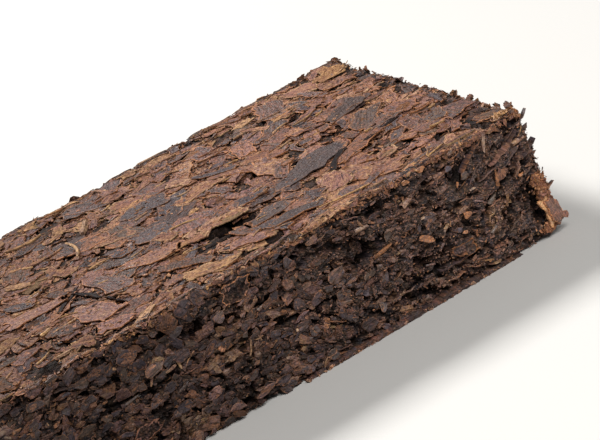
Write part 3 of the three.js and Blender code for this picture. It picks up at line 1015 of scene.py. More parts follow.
def scale_shapes(rng, long, wide, thick, cup):
    """Larger flakes: thin plates with a bevelled rim and a smooth skin, cupped and crumpled. Three
    breaks run straight across each of them, where they meet its outline."""
    count, corners = len(long), SCALE_CORNERS
    angle = np.arange(corners) / corners * 2 * math.pi + rng.uniform(-0.2, 0.2, (count, corners))
    reach = rng.uniform(0.85, 1.15, (count, corners))
    for _ in range(3):
        toward, depth = rng.uniform(0, 2 * math.pi, (count, 1)), rng.uniform(0.35, 1.0, (count, 1))
        reach = np.minimum(reach, depth / np.maximum(np.cos(angle - toward), 0.05))
    rim = np.stack([np.cos(angle) * long[:, None], np.sin(angle) * wide[:, None]], -1) / 2
    rim *= reach[..., None]
    # The outer rim, the inner one where the bevel ends, and the middle.
    shapes = np.zeros((count, 2 * corners + 1, 3))
    shapes[:, :corners, :2], shapes[:, corners:-1, :2] = rim, 0.87 * rim
    x, y = shapes[..., 0] / long[:, None], shapes[..., 1] / wide[:, None]
    bow, twist = rng.normal(0, 0.25, (2, count, 1)) * long[:, None]
    shapes[..., 2] = (cup * wide)[:, None] * y**2 + bow * x**2 + twist * x * y
    shapes[:, :-1, 2] += np.tile(rng.normal(0, 0.07, (count, corners)) * wide[:, None], 2)
    shapes[:, corners:, 2] += thick[:, None]
    return shapes


def own_grain(rng, shapes):
    """How far each point lies along and across its piece of leaf, and the number of that piece."""
    grain = np.zeros(shapes.shape)
    grain[..., :2] = shapes[..., :2]
    grain[..., 2] = rng.uniform(0, LEAF_NUMBERS, len(shapes))[:, None]
    return grain


def flake_notes(rng, shapes, tint, tone, rim, corners=FLAKE_CORNERS):
    """The leaf and grain values of flakes."""
    leaf = np.zeros(shapes.shape)
    leaf[..., 0], leaf[..., 1] = tint[:, None], tone[:, None]
    leaf[:, :corners, 2] = rim
    return leaf, own_grain(rng, shapes)


STALK_RINGS, STALK_SIDES = 7, 6


def stalk_shapes(rng, long, thick, bow):
    """Bits of stem: thin tubes, a little bowed and knobbly, cut off short at both ends."""
    count = len(long)
    t = np.linspace(-0.5, 0.5, STALK_RINGS)
    ring = np.arange(STALK_SIDES) / STALK_SIDES * 2 * math.pi
    radius = thick[:, None] / 2 * (1 + 0.16 * rng.uniform(-1, 1, (count, STALK_RINGS)))
    radius[:, [0, -1]] *= 0.72
    bend = bow[:, None] * long[:, None] * (t[None] ** 2 * 4 - 0.5)
    shapes = np.zeros((count, STALK_RINGS, STALK_SIDES, 3))
    shapes[..., 0] = (t[None] * long[:, None])[..., None]
    shapes[..., 1] = bend[..., None] + radius[..., None] * np.cos(ring)
    shapes[..., 2] = radius[..., None] * 0.8 * np.sin(ring)
    return shapes.reshape(count, -1, 3)


ROLL_STEPS, ROLL_ROWS, ROLL_THICK = 7, 3, 0.16


def roll_shapes(rng, long, radius, sweep):
    """Rolled leaf: a strip that dried into an open roll about its length, as a closed thin shell."""
    count = len(long)
    shapes = np.zeros((count, 2, ROLL_STEPS, ROLL_ROWS, 3))
    turn = (np.linspace(-0.5, 0.5, ROLL_STEPS)[None] * sweep[:, None])[:, None, :, None]
    grow = 1 + 0.35 * np.linspace(0, 1, ROLL_STEPS)[None, None, :, None]
    layer = radius[:, None, None, None] * grow - np.array([0, ROLL_THICK])[None, :, None, None]
    layer = layer * (1 + 0.1 * rng.uniform(-1, 1, (count, 1, ROLL_STEPS, ROLL_ROWS)))
    ragged = 0.12 * long[:, None, None, None] * rng.uniform(-1, 1, (count, 1, ROLL_STEPS, ROLL_ROWS))
    shapes[..., 0] = np.linspace(-0.5, 0.5, ROLL_ROWS) * long[:, None, None, None] + ragged
    shapes[..., 1] = layer * np.sin(turn)
    shapes[..., 2] = layer * np.cos(turn)
    return shapes.reshape(count, -1, 3)


def roll_faces():
    """Faces of a roll: its outer and inner skins, and the four edges between them."""
    last, end = ROLL_STEPS - 1, ROLL_ROWS - 1

    def at(skin, step, row):
        return (skin * ROLL_STEPS + step) * ROLL_ROWS + row

    faces = []
    for k in range(last):
        for e in range(end):
            faces.append((at(0, k, e), at(0, k, e + 1), at(0, k + 1, e + 1), at(0, k + 1, e)))
            faces.append((at(1, k, e), at(1, k + 1, e), at(1, k + 1, e + 1), at(1, k, e + 1)))
        faces.append((at(0, k, 0), at(0, k + 1, 0), at(1, k + 1, 0), at(1, k, 0)))
        faces.append((at(0, k, end), at(1, k, end), at(1, k + 1, end), at(0, k + 1, end)))
    for e in range(end):
        faces.append((at(0, 0, e), at(1, 0, e), at(1, 0, e + 1), at(0, 0, e + 1)))
        faces.append((at(0, last, e), at(0, last, e + 1), at(1, last, e + 1), at(1, last, e)))
    return faces


# ------------ operators: core and sides


def box_shell(steps):
    """A closed grid over the plain brick, with cells about `steps` wide along each axis."""
    counts = [round(2 * half / step) for half, step in zip(HALF, steps, strict=True)]
    lines = [np.linspace(-h, h, n + 1) for h, n in zip(HALF, counts, strict=True)]
    numbers, faces = {}, []
    for axis in range(3):
        a, b = (axis + 1) % 3, (axis + 2) % 3
        for end, i, j in product((0, counts[axis]), range(counts[a]), range(counts[b])):
            corners = []
            for di, dj in ((0, 0), (1, 0), (1, 1), (0, 1)):
                key = [0, 0, 0]
                key[axis], key[a], key[b] = end, i + di, j + dj
                corners.append(numbers.setdefault(tuple(key), len(numbers)))
            faces.append(tuple(corners if end else reversed(corners)))
    keys = np.array(list(numbers))
    return np.stack([lines[axis][keys[:, axis]] for axis in range(3)], 1) + MIDDLE, faces


class TEA_OT_core(bpy.types.Operator):
    """Press the matted core that fills the brick under its leaves"""

    bl_idname = "tea.press_core"
    bl_label = "Pressed core"

    def execute(self, context):
        lay_faces(context.scene.tea_leaf.seed)
        box, faces = box_shell((1.2, 1.2, 2))
        points, tint, tone, _ = skin(box)
        # The core draws in where the sides and the edges of the top and base cover it.
        from_middle = np.abs(box - MIDDLE)
        inward = MIDDLE - points
        inward[:, 2] = 0
        inward /= np.maximum(np.abs(inward[:, :2]).max(1, keepdims=True), 1e-6)
        covered = (from_middle[:, 2] < HALF[2] - 1e-6) | (from_middle[:, :2] > HALF[:2] - 2).any(1)
        points = np.where(covered[:, None], points + inward * 1.2, points)
        grain = points * (1, 1, 2)
        # The core is painted darker still: it shows only in the gaps, where it stands for painted shade.
        leaf = np.stack([tint, tone * 0.8, np.zeros(len(tint))], 1)
        dust = compressed_dust_and_painted_shade(context.scene.tea_colours)
        add_piece("pressed_core", points, faces, dust, 60, leaf, grain)
        return {"FINISHED"}


def side_rows(step, tuck):
    """Rows of points round the plain brick's sides, from `tuck` in under the base, up the sides and
    to `tuck` in over the top. Also gives how far in and how high each row lies."""
    x, y = HALF[:2]
    corners = [(-x, -y), (x, -y), (x, y), (-x, y)]
    ring = []
    for start, end in zip(corners, corners[1:] + corners[:1], strict=True):
        ring.extend(np.linspace(start, end, round(math.dist(start, end) / step), endpoint=False))
    insets = np.arange(tuck, 0, -step)
    levels = np.linspace(0, HEIGHT, round(HEIGHT / step) + 1)
    profile = [(inset, 0.0) for inset in insets]
    profile += [(0.0, z) for z in levels]
    profile += [(inset, HEIGHT) for inset in insets[::-1]]
    rows = [
        np.column_stack([np.clip(ring, inset - HALF[:2], HALF[:2] - inset), np.full(len(ring), z)])
        for inset, z in profile
    ]
    return rows, profile


class TEA_OT_sides(bpy.types.Operator):
    """Break the four sides into a relief of crumbled layers"""

    bl_idname = "tea.break_sides"
    bl_label = "Broken sides"

    def execute(self, context):
        rows, profile = side_rows(0.55, 3.2)
        around = len(rows[0])
        points, tint, tone, rim = skin(np.concatenate(rows))
        # The first and last rows sink out of sight.
        points[:around, 2] += 0.8
        points[-around:, 2] -= 0.8
        inward = np.repeat([inset if z > 1 else -inset for inset, z in profile], around)
        x, y, z = points.T
        grain = np.stack([x + y, z + inward, x * 0.5], 1)
        leaf = np.stack([tint, tone * 0.85, rim], 1)
        faces = band_faces(len(rows), around, closed=True)
        broken = broken_leaf_layers(context.scene.tea_colours)
        join_doubles(add_piece("broken_sides", points, faces, broken, 24, leaf, grain))
        return {"FINISHED"}


def join_doubles(piece):
    """Joins points that coincide, where the rows of a ring meet in its corners."""
    mesh = bmesh.new()
    mesh.from_mesh(piece.data)
    bmesh.ops.remove_doubles(mesh, verts=mesh.verts, dist=1e-6)
    bmesh.ops.dissolve_degenerate(mesh, edges=mesh.edges, dist=1e-7)
    mesh.to_mesh(piece.data)
    mesh.free()


# ------------ operators: leaf

# Leaves that catch the eye: face, u, v, long, wide, turn, kind, tint, tone, curl, tip.
BOLD_LEAVES = [
    ("top", 31.4, -13.2, 21, 9.2, 22, "dark", 0.12, 1, 0.35, 0.3),
    ("top", 42.7, -16.2, 15.6, 5.6, 20, "face", 0.46, 1.1, 0.3, 0.2),
    ("top", 30.9, -28.8, 9.4, 6.6, 72, "tan", 0.6, 1.15, 0.3, 0.2),
    ("top", 44.5, -28.2, 6, 4.6, 60, "tan", 0.68, 1.1, 0.35, 0.2),
    ("top", 16.3, -12.9, 7, 5, -8, "dark", 0, 0.9, 0.25, 0.25),
    ("top", 14.5, -26.4, 10, 5.6, 6, "dark", 0.2, 0.95, 0.2, 0.2),
    ("top", 17.8, -33.4, 13, 4.4, -10, "dark", 0.12, 0.9, 0.2, 0.2),
    ("top", 3.2, -15.4, 9, 3.8, 8, "tan", 0.7, 1.1, 0.4, 0.3),
    ("top", 7.4, -16.5, 11, 4, -3, "tan", 0.68, 1.1, 0.75, 0.1),
    ("top", 1.4, -18.8, 7, 2.6, 22, "tan", 0.74, 1.15, 0.5, 0.3),
    ("top", -21.6, -17, 14, 6.2, -70, "dark", 0.34, 0.9, 0.45, 0.3),
    ("top", -28.9, -27, 13, 7, -64, "face", 0.6, 1.05, 0.3, 0.2),
    ("top", -29.6, -18.8, 5.6, 2.2, -50, "dark", 0.3, 0.77, 0.5, 0.3),
    ("top", -33.4, -17.2, 9, 3.8, 46, "face", 0.5, 1.05, 0.5, 0.3),
    # These six thin near black leaves lie along cracks: painted shadow, dark strips that stand in for the
    # shade in the cracks.
    ("top", -30.3, -13.4, 11, 1.5, 48, "dark", 0, 0.25, 0.3, 0.3),
    ("top", -26.3, -16.2, 10, 1.3, -72, "dark", 0, 0.25, 0.3, 0.3),
    ("top", -23.6, -25.6, 9, 0.9, -74, "dark", 0, 0.25, 0.3, 0.3),
    ("top", 35.8, -18.4, 11, 1.7, 49, "dark", 0, 0.25, 0.3, 0.3),
    ("top", 50.4, -15.2, 11, 1.5, 16, "dark", 0, 0.2, 0.3, 0.3),
    ("top", 19, -23.4, 8, 0.9, -62, "dark", 0, 0.25, 0.3, 0.3),
    ("top", -24.2, -42.8, 9, 2.8, 44, "tan", 0.84, 1.1, 0.5, 0.3),
    ("top", -30.6, -43.4, 7, 2.4, 14, "tan", 0.8, 1.1, 0.4, 0.3),
    ("top", 20.5, -43.5, 15, 2, 5, "tan", 0.8, 1.1, 0.3, 0.2),
    ("top", -3.6, -17.8, 10, 3.4, -6, "tan", 0.66, 1.1, 0.3, 0.2),
    ("top", 10.3, 6.6, 11, 6, 20, "tan", 0.66, 1.1, 0.2, 0.2),
    ("top", 5.3, -33.8, 8.6, 5.2, -20, "face", 0.56, 1.15, 0.35, 0.2),
    ("top", -5.4, -37.6, 11, 4.8, -22, "tan", 0.78, 1, 0.2, 0.15),
    ("top", -10.6, -15.8, 13, 5.4, -24, "face", 0.6, 1.15, 0.4, 0.3),
    ("top", -28, -37.4, 8, 5.2, -20, "face", 0.5, 1.1, 0.2, 0.2),
    ("top", -12.7, -4.2, 6.4, 5.2, -20, "dark", 0.1, 0.95, 0.2, 0.2),
    ("top", -37.3, -11, 13, 5, -4, "face", 0.62, 1.05, 0.2, 0.2),
    ("top", 52.2, 7.4, 13, 6.4, 26, "dark", 0.2, 0.9, 0.25, 0.2),
    ("top", 52.8, -10.6, 9, 5.4, 6, "dark", 0.34, 1.12, 0.3, 0.2),
    ("top", 0.4, 14, 11, 7, -6, "dark", 0.08, 0.95, 0.2, 0.2),
    ("top", 18.2, 11.8, 12, 3.4, -40, "dark", 0.1, 0.95, 0.5, 0.2),
    ("top", 36.4, 33.1, 5.4, 4.4, 20, "tan", 0.9, 1.1, 0.2, 0.2),
    ("near", -4.1, 11.1, 6.6, 4.2, 9, "dark", 0.42, 1.25, 0.2, 0.2),
    ("near", 46, -7, 6, 3, -10, "face", 0.55, 1, 0.4, 0.3),
    ("near", -33, -6, 5.6, 3.2, 14, "face", 0.5, 1, 0.4, 0.3),
]


def leaf_kind(face, u, v):
    """Picks a leaf's kind, tint and tone. Pale leaf is commoner along the near and far edges, and
    each batch of leaf that went into the mould is a little darker or paler than the next."""
    rng, zone = face.rng, float(face.read(face.zone, u, v))
    pale = 0.14 + 0.4 * math.exp(-(((v + 43) / 4) ** 2)) + 0.34 / (1 + math.exp(-(v - 20) / 5))
    # `worn` makes leaf lighter towards the right end and darker to the left: painted light, the fall of
    # the light along the top.
    draw, worn = rng.uniform(), 1.03 + 0.3 * float(np.clip(u / 45, -1.4, 0.6))
    if draw < pale + 0.14 * zone:
        return "tan", rng.uniform(0.54, 0.8), rng.uniform(0.85, 1.1) * worn
    if draw > 0.8 + 0.16 * zone:
        return "dark", rng.uniform(0.04, 0.4), rng.uniform(0.7, 1.0) * worn
    return "face", rng.uniform(0.22, 0.66) + 0.08 * zone, rng.uniform(0.84, 1.14) * worn


class TEA_OT_leaves(bpy.types.Operator):
    """Lay whole pieces of leaf over one another on every face"""

    bl_idname = "tea.lay_leaves"
    bl_label = "Whole leaves"

    def execute(self, context):
        settings, colours = context.scene.tea_leaf, context.scene.tea_colours
        heaps = {kind: Heap() for kind in ("face", "dark", "tan")}
        depth = settings.leaf_depth / MM
        spans, side_spans = (settings.shortest / MM, settings.longest / MM), (2.2, 6.5)
        sixth = settings.side_leaves // 6
        for name, count, span, spread in (
            ("top", settings.top_leaves, spans, 70),
            ("base", settings.base_leaves, (6, 20), 60),
            ("near", 2 * sixth, side_spans, 14),
            ("far", 2 * sixth, side_spans, 14),
            ("right", sixth, side_spans, 14),
            ("left", sixth, side_spans, 14),
        ):
            face = FACES[name]
            self.cover(face, heaps, count, span, spread, depth)
            if name == "top":
                self.add_slivers(face, heaps, settings.slivers, depth)
            self.add_bold(face, heaps, depth)
        heaps["face"].piece("face_leaves", russet_tea_leaf(colours), 40)
        heaps["dark"].piece("dark_leaves", slate_tea_leaf(colours), 40)
        heaps["tan"].piece("tan_leaves", fawn_tea_leaf(colours), 40)
        return {"FINISHED"}

    def cover(self, face, heaps, count, span, spread, depth):
        """Covers a face with leaf, piece over piece, spread evenly."""
        rng = face.rng
        places = []
        while len(places) < count:
            u, v, _ = scatter(face, max(count // 3, 8), rng, 0.6)
            order = rng.permutation(len(u))
            places.extend(zip(u[order], v[order], strict=True))
        for n, (u, v) in enumerate(places[:count]):
            kind, tint, tone = leaf_kind(face, u, v)
            # The near side crumbled towards its right end, where whole leaf is rare.
            if face.name == "near" and rng.uniform() < 0.9 * np.clip(u / 40, 0, 1):
                continue
            if not face.flat:
                kind, tint = ("dark", 0.6 * tint) if n % 2 else ("face", 0.75 * tint)
                tone *= 0.85
            long = span[0] + (span[1] - span[0]) * rng.beta(1.15, 3.5)
            wide = long * rng.uniform(0.36, 0.8) if n % 5 else long * rng.uniform(0.16, 0.3)
            turn = math.radians(face.layers(u, v) - 4 + rng.normal(0, spread))
            look = {"depth": depth * rng.uniform(0.7, 1.3), "tint": tint, "tone": tone}
            lay_leaf(face, heaps[kind], long, min(wide, 7.5), u, v, turn, **look)

    def add_slivers(self, face, heaps, count, depth):
        """Long thin shreds, most of them along the near and far edges, where the mould drew them."""
        rng = face.rng
        for n in range(count):
            edge = rng.choice([-1, 1], p=[0.7, 0.3])
            v = edge * (face.half[1] - rng.uniform(-0.6, 4.5)) if n % 3 else rng.uniform(-40, 40)
            heap = heaps[rng.choice(["face", "tan", "dark"], p=[0.45, 0.4, 0.15])]
            long, wide = rng.uniform(3, 9.5), rng.uniform(0.5, 1.5)
            u = rng.uniform(-face.half[0], face.half[0])
            turn = math.radians(rng.normal(2 if n % 3 else -5, 10))
            thick, tint, tone = rng.uniform((0.8, 0.3, 0.85), (2, 0.85, 1.2))
            lay_leaf(face, heap, long, wide, u, v, turn, depth=depth * thick, tint=tint, tone=tone)

    def add_bold(self, face, heaps, depth):
        """The leaves of this face that catch the eye."""
        for name, u, v, long, wide, turn, kind, tint, tone, curl, tip in BOLD_LEAVES:
            if name == face.name:
                look = {"depth": depth * 1.2, "tint": tint, "tone": tone, "lift": (curl, tip)}
                lay_leaf(face, heaps[kind], long, wide, u, v, math.radians(turn), **look, bold=True)


def side_share(name):
    """How much of all the sides this one is."""
    return FACES[name].half[0] / sum(FACES[side].half[0] for side in SIDES)


class TEA_OT_crumbs(bpy.types.Operator):
    """Fill the dips between the leaves with small broken bits"""

    bl_idname = "tea.fill_crumbs"
    bl_label = "Crumbs between the leaves"
    TRIES = 2.6  # places looked at for each crumb

    def execute(self, context):
        heap = Heap()
        for name, share in (("top", 0.85), ("base", 0.15)):
            self.fill(FACES[name], heap, int(context.scene.tea_leaf.crumbs * share))
        self.stand_on_rims(FACES["top"], heap)
        heap.piece("leaf_crumbs", crumbled_tea_leaf(context.scene.tea_colours))
        return {"FINISHED"}

    def fill(self, face, heap, most):
        """Fills the dips of a face: the deeper the leaf lies there, the likelier a crumb."""
        rng = face.rng
        dips = face.dips()
        u, v, high = scatter(face, int(most * self.TRIES), rng, 0.8)
        dip = face.read(dips, u, v)
        wanted = np.clip(0.14 + 2.6 * dip, 0.03, 1)
        kept = np.flatnonzero(rng.uniform(size=len(u)) < wanted)[:most]
        u, v, high, dip = u[kept], v[kept], high[kept], dip[kept]
        count = len(u)
        # Near black shreds lie deep in the dips: painted shadow, dark strips that make the gaps read as
        # shaded cracks.
        shadow_shred = (rng.uniform(size=count) < 0.3) & (dip > 0.04)
        long = np.where(shadow_shred, rng.uniform(1.2, 5, count), 0.4 + 2.1 * rng.beta(1.3, 3, count))
        aspect = np.where(shadow_shred, rng.uniform(0.08, 0.2, count), rng.uniform(0.3, 0.75, count))
        thick, curl = rng.uniform(0.1, 0.24, count), rng.uniform(-0.8, 0.8, count)
        shapes = flake_shapes(rng, long, long * aspect, thick, np.where(shadow_shred, 0, curl))
        level = high + np.where(shadow_shred, 0.02, 0.45 * np.clip(dip, 0, 0.5) + 0.05)
        if face.name == "base":
            level = np.minimum(level, -0.15)
        rolls, pitches = rng.normal(0, 0.3, count) * ~shadow_shred, rng.normal(0, 0.16, count) * ~shadow_shred
        turns = np.radians(rng.normal(0, 1, count) * np.where(shadow_shred, 40, 70))
        placed = stand(face, shapes, u, v, level, rolls, pitches, turns)
        pale = 0.06 + 0.4 * np.exp(-(((v + 43.5) / 3) ** 2)) + 0.1 / (1 + np.exp(-(v - 22) / 6))
        tint = np.clip(rng.normal(0.42, 0.2, count), 0, 1)
        bright = rng.uniform(size=count) < pale
        tint[bright] = rng.uniform(0.6, 0.9, bright.sum())
        tone = np.where(shadow_shred, rng.uniform(0.2, 0.6, count), rng.uniform(0.8, 1.2, count))
        heap.add_many(placed, FLAKE_FACES, *flake_notes(rng, shapes, tint, tone, 0.7))

    def stand_on_rims(self, face, heap):
        """Bits of leaf that stand up along the top's edges: on its ends, most of them on the right
        one, then along its length, most of them on the near edge."""
        rng, (end, edge) = face.rng, face.half
        at_ends, along = 300, 700
        ends, edges = rng.choice([-1, 1], (2, along), p=[0.12, 0.88])
        ends = ends[:at_ends] * rng.normal(end - 0.4, 0.5, at_ends)
        u = np.clip(np.concatenate([ends, rng.uniform(-end, end, along)]), -end - 0.3, end + 0.3)
        across = rng.uniform(-edge, edge, at_ends)
        v = np.concatenate([across, -edges * rng.normal(edge - 0.4, 0.7, along)])
        v = np.clip(v, -edge - 0.4, edge + 0.4)
        count = len(u)
        long = 0.8 + 2.4 * rng.beta(1.2, 2.0, count)
        wide, thick = long * rng.uniform(0.3, 0.6, count), rng.uniform(0.12, 0.25, count)
        shapes = flake_shapes(rng, long, wide, thick, rng.uniform(-0.8, 0.8, count))
        upright = rng.uniform(0.1, 0.9, count) * rng.choice([-1, 1], count)
        upright[at_ends:] *= 0.35
        level = np.minimum(face.read(face.level, u, v), 0.2)
        turns = rng.uniform(-math.pi, math.pi, count)
        placed = stand(face, shapes, u, v, level, rng.normal(0, 0.3, count), upright, turns)
        tint = np.clip(rng.normal(0.54, 0.22, count), 0, 1)
        tone = rng.uniform(0.7, 1.2, count)
        # painted light: the bits on the ends are painted lighter, as lit tips
        tone[:at_ends] *= 1.4
        heap.add_many(placed, FLAKE_FACES, *flake_notes(rng, shapes, tint, tone, 0.5))


# Flakes of the near side that catch the eye: u, v, long, wide, turn, tint, tone.
BOLD_FLAKES = [
    (38.8, -0.2, 4.4, 1.7, -34, 0.68, 1.1),
    (58.9, 3.9, 4.2, 1.2, 78, 0.62, 0.9),
    (64.6, 1.9, 1.6, 1, 20, 0.72, 1.3),
    (52.5, 4.6, 2.2, 1.1, -10, 1, 1.3),
    (49.5, 7, 1.9, 0.8, 60, 0.75, 1.1),
    (49.4, -0.1, 2.2, 1.7, 0, 0.6, 1.4),
    # painted highlight: this slate flake is painted lighter to stand in for a glint
    (52.2, 8.2, 2.8, 1.9, 20, 0, 1.5),
    (48.9, 11.2, 2, 1.5, 30, 0, 1.3),
    (50, -5.1, 2.2, 1.1, 75, 0.7, 1.2),
    (36.7, 9.2, 2.4, 0.5, 80, 1, 1.4),
    (39.6, 4.5, 1, 0.8, 0, 1, 1.2),
    (42.9, 14.2, 3, 1.4, 10, 0.7, 1.1),
    (38.8, 13.4, 2.2, 1.4, 10, 0.7, 1.1),
    # painted highlight: this pale speck is painted very light to stand in for a glint
    (4.5, -3.3, 1, 0.6, 60, 1, 1.7),
    (-10, 7.6, 4.2, 3, 20, 0.3, 1.3),
    (-5.9, -11.7, 7, 2.8, 6, 0.4, 1.15),
    (-13.5, -12, 5.4, 2.4, 2, 0.4, 1.1),
    (-11.9, 1.7, 2.6, 1.9, 40, 0.62, 1.1),
    (6, -1.3, 5, 1.4, 12, 0.5, 1.05),
    (-26.4, 5.4, 5.2, 3, 10, 0.32, 1.2),
    (-17, -6, 4.6, 3.2, 20, 0.5, 1.1),
    (28, 2.4, 6, 1.2, 12, 0.58, 0.75),
    (17, 3, 5.6, 3.4, 20, 0.3, 1.1),
    (24, -8.6, 2.8, 2, 60, 0, 1.5),
]


class TEA_OT_flakes(bpy.types.Operator):
    """Break small flakes and layers of leaf out of the four sides"""

    bl_idname = "tea.break_flakes"
    bl_label = "Side flakes and edge strips"

    def execute(self, context):
        settings, colours = context.scene.tea_leaf, context.scene.tea_colours
        flakes, scales, strips = Heap(), Heap(), Heap()
        for name in SIDES:
            face, share = FACES[name], settings.flakes * side_share(name)
            self.add_scales(face, scales, int(settings.scales * side_share(name)))
            self.add_flakes(face, flakes, int(share * 0.75), (0.5, 1.6), (0.3, 0.8), 0.3)
            self.add_flakes(face, flakes, int(share * 0.25), (1.2, 3.2), (0.3, 0.7), 0.22)
            if name == "near":
                self.add_flakes(face, flakes, settings.crumble, (0.45, 1.4), (0.4, 0.9), 0.5, fine=True)
                self.add_bold(face, scales)
            self.add_strips(face, strips, int(settings.strips * side_share(name)))
        flakes.piece("side_flakes", broken_leaf_flakes(colours))
        scales.piece("side_scales", broken_leaf_scales(colours), 38)
        strips.piece("edge_strips", leaf_seen_edge_on(colours), 50)
        return {"FINISHED"}

    def add_scales(self, face, heap, count):
        """Larger flakes that lie nearly flush, edge to edge. The near side crumbled towards the
        right end, where they are few."""
        rng = face.rng
        u, v, high = scatter(face, count, rng, 0.2)
        if face.name == "near":
            kept = rng.uniform(size=len(u)) > 0.92 * np.clip((u - 5) / 35, 0, 1)
            u, v, high = u[kept], v[kept], high[kept]
        count = len(u)
        long = 1.6 + 3.4 * rng.beta(1.3, 2.0, count)
        if face.name == "near":
            long *= 1.1 - 0.2 * np.clip(u / 50, -1, 1)
        wide = long * rng.uniform(0.4, 0.85, count)
        turns = np.radians(face.layers(u, v) + rng.normal(0, 24, count))
        pits = face.open.astype(float)
        reach = 0.42 * long * np.cos(turns), 0.42 * long * np.sin(turns)
        ends = [face.read(pits, u + way * reach[0], v + way * reach[1]) for way in (-1, 1)]
        kept = np.max(ends, 0) < 0.5
        u, v, high, long, wide, turns = (a[kept] for a in (u, v, high, long, wide, turns))
        count = len(u)
        thick, cup = rng.uniform(0.12, 0.22, count), rng.uniform(-0.5, 0.5, count)
        shapes = scale_shapes(rng, long, wide, thick, cup)
        level = np.maximum(high, -0.75) + rng.uniform(-0.05, 0.22, count)
        placed = stand(face, shapes, u, v, level, *rng.normal(0, 0.13, (2, count)), turns)
        tint = np.clip(rng.normal(0.28, 0.2, count) + face.read(face.batch, u, v), 0.02, 0.8)
        tone = rng.uniform(0.62, 1.12, count) * face.paling(u)
        notes = flake_notes(rng, shapes, tint, tone, 0.6, SCALE_CORNERS)
        heap.add_many(placed, SCALE_FACES, *notes)

    def add_flakes(self, face, heap, count, span, aspect, tilt, fine=False):
        """Broken flakes that face out of a side, tilted this way and that; fine ones lie where the
        near side crumbled, towards its right end."""
        rng = face.rng
        u, v, high = scatter(face, count, rng, 0.9)
        if fine:
            kept = rng.uniform(size=len(u)) < np.clip((u + 6) / 40, 0.06, 1)
            u, v, high = u[kept], v[kept], high[kept]
        upper = np.clip((v - face.half[1] + 2) / 2, 0, 1)  # lies flatter where it meets the top
        count = len(u)
        size = 1.05 - 0.35 * np.clip(u / 60, -1, 1) if face.name == "near" else 1.0
        long = (span[0] + (span[1] - span[0]) * rng.beta(1.2, 2.6, count)) * size
        wide = long * rng.uniform(*aspect, count)
        thick, curl = rng.uniform(0.12, 0.3, count), rng.uniform(-1.1, 1.1, count)
        shapes = flake_shapes(rng, long, wide, thick, curl)
        turns = np.radians(face.layers(u, v) + rng.normal(0, 26, count))
        level = high + rng.uniform(-0.05, 0.2, count) * (1 - 0.7 * upper)
        rolls, pitches = rng.normal(0, tilt, count), rng.normal(0, tilt / 2, count)
        flatter = 1 - 0.6 * upper
        placed = stand(face, shapes, u, v, level, rolls * flatter, pitches * flatter, turns)
        tint = np.clip(rng.normal(0.28, 0.2, count) + face.read(face.batch, u, v), 0, 1)
        pale = rng.uniform(size=count) < 0.07
        tint[pale] = rng.uniform(0.5, 0.8, pale.sum())
        tone = rng.uniform(*(0.6, 1.25) if fine else (0.75, 1.12), count) * face.paling(u)
        # painted shade: flakes lying deeper in the relief are painted darker
        tone *= np.clip(1.05 + 0.4 * (high + 0.5), 0.5, 1.12)
        leaf, grain = flake_notes(rng, shapes, tint, tone, 0.5)
        leaf[pale, :, 2] = 1.0  # torn right through, so that its whole face is orange brown
        heap.add_many(placed, FLAKE_FACES, leaf, grain)

    def add_bold(self, face, heap):
        """The flakes of this side that catch the eye."""
        u, v, long, wide, turn, tint, tone = np.array(BOLD_FLAKES).T
        rng, count = face.rng, len(u)
        shapes = scale_shapes(rng, long, wide, np.full(count, 0.2), rng.uniform(-0.6, 0.2, count))
        high = np.maximum(face.read(face.level, u, v), -0.35) + 0.3
        tilts = rng.normal(0, 0.12, (2, count))
        placed = stand(face, shapes, u, v, high, *tilts, np.radians(turn))
        leaf, grain = flake_notes(rng, shapes, tint, tone, 0.6, SCALE_CORNERS)
        leaf[(tint > 0.55) & (tint < 0.9), :, 2] = 1.1
        heap.add_many(placed, SCALE_FACES, leaf, grain)

    def add_strips(self, face, heap, count):
        """Layers seen edge-on: thin wavy plates that lie level and stick out of the side a little."""
        rng = face.rng
        u, v, high = scatter(face, count, rng, -0.5, clear=0.6)
        count, steps = len(u), 9
        t = np.linspace(-0.5, 0.5, steps)
        curled = rng.uniform(size=count) < 0.84 - 0.5 * np.clip((u - 38) / 15, 0, face.name == "near")
        long = np.where(curled, 1.2 + 2.6 * rng.beta(1.2, 2, count), 3 + 6 * rng.beta(1.4, 2.6, count))
        thick = np.where(curled, rng.uniform(0.12, 0.26, count), rng.uniform(0.16, 0.36, count))
        taper = np.sqrt(np.clip(1 - (2 * t) ** 4, 0.05, 1))
        wave = np.array([smooth_noise(rng, steps, 4) for _ in range(count)])
        wave *= np.where(curled, 0.5, 0.3)[:, None]
        proud = rng.uniform(0.1, 0.5, count)[:, None] * taper
        proud = proud + 0.14 * rng.uniform(-1, 1, (count, steps))
        shapes = np.zeros((count, steps, 4, 3))
        shapes[..., 0] = (t * long[:, None])[..., None]
        sides = np.array([-0.5, 0.5, 0.5, -0.5]) * (thick[:, None] * taper)[..., None]
        shapes[..., 1] = wave[..., None] + sides
        shapes[..., 2] = np.where([True, True, False, False], proud[..., None], -1.4)
        shapes = shapes.reshape(count, -1, 3)
        turns = np.radians(face.layers(u, v)) + rng.normal(0, 1, count) * np.where(curled, 0.4, 0.12)
        rolls = rng.normal(0, 0.25, count)
        placed = stand(face, shapes, u, v, high, rolls, np.zeros(count), turns)
        leaf = np.zeros((count, steps * 4, 3))
        leaf[..., 0] = np.clip(rng.normal(0.3, 0.2, count) + face.read(face.batch, u, v), 0, 1)[:, None]
        leaf[..., 1] = (rng.uniform(0.6, 1.05, count) * face.paling(u))[:, None]
        leaf[..., 2] = np.tile([0.8, 0.8, 0, 0], steps) * rng.uniform(0, 1, (count, 1))
        heap.add_many(placed, tube_faces(steps, 4), leaf, own_grain(rng, shapes))


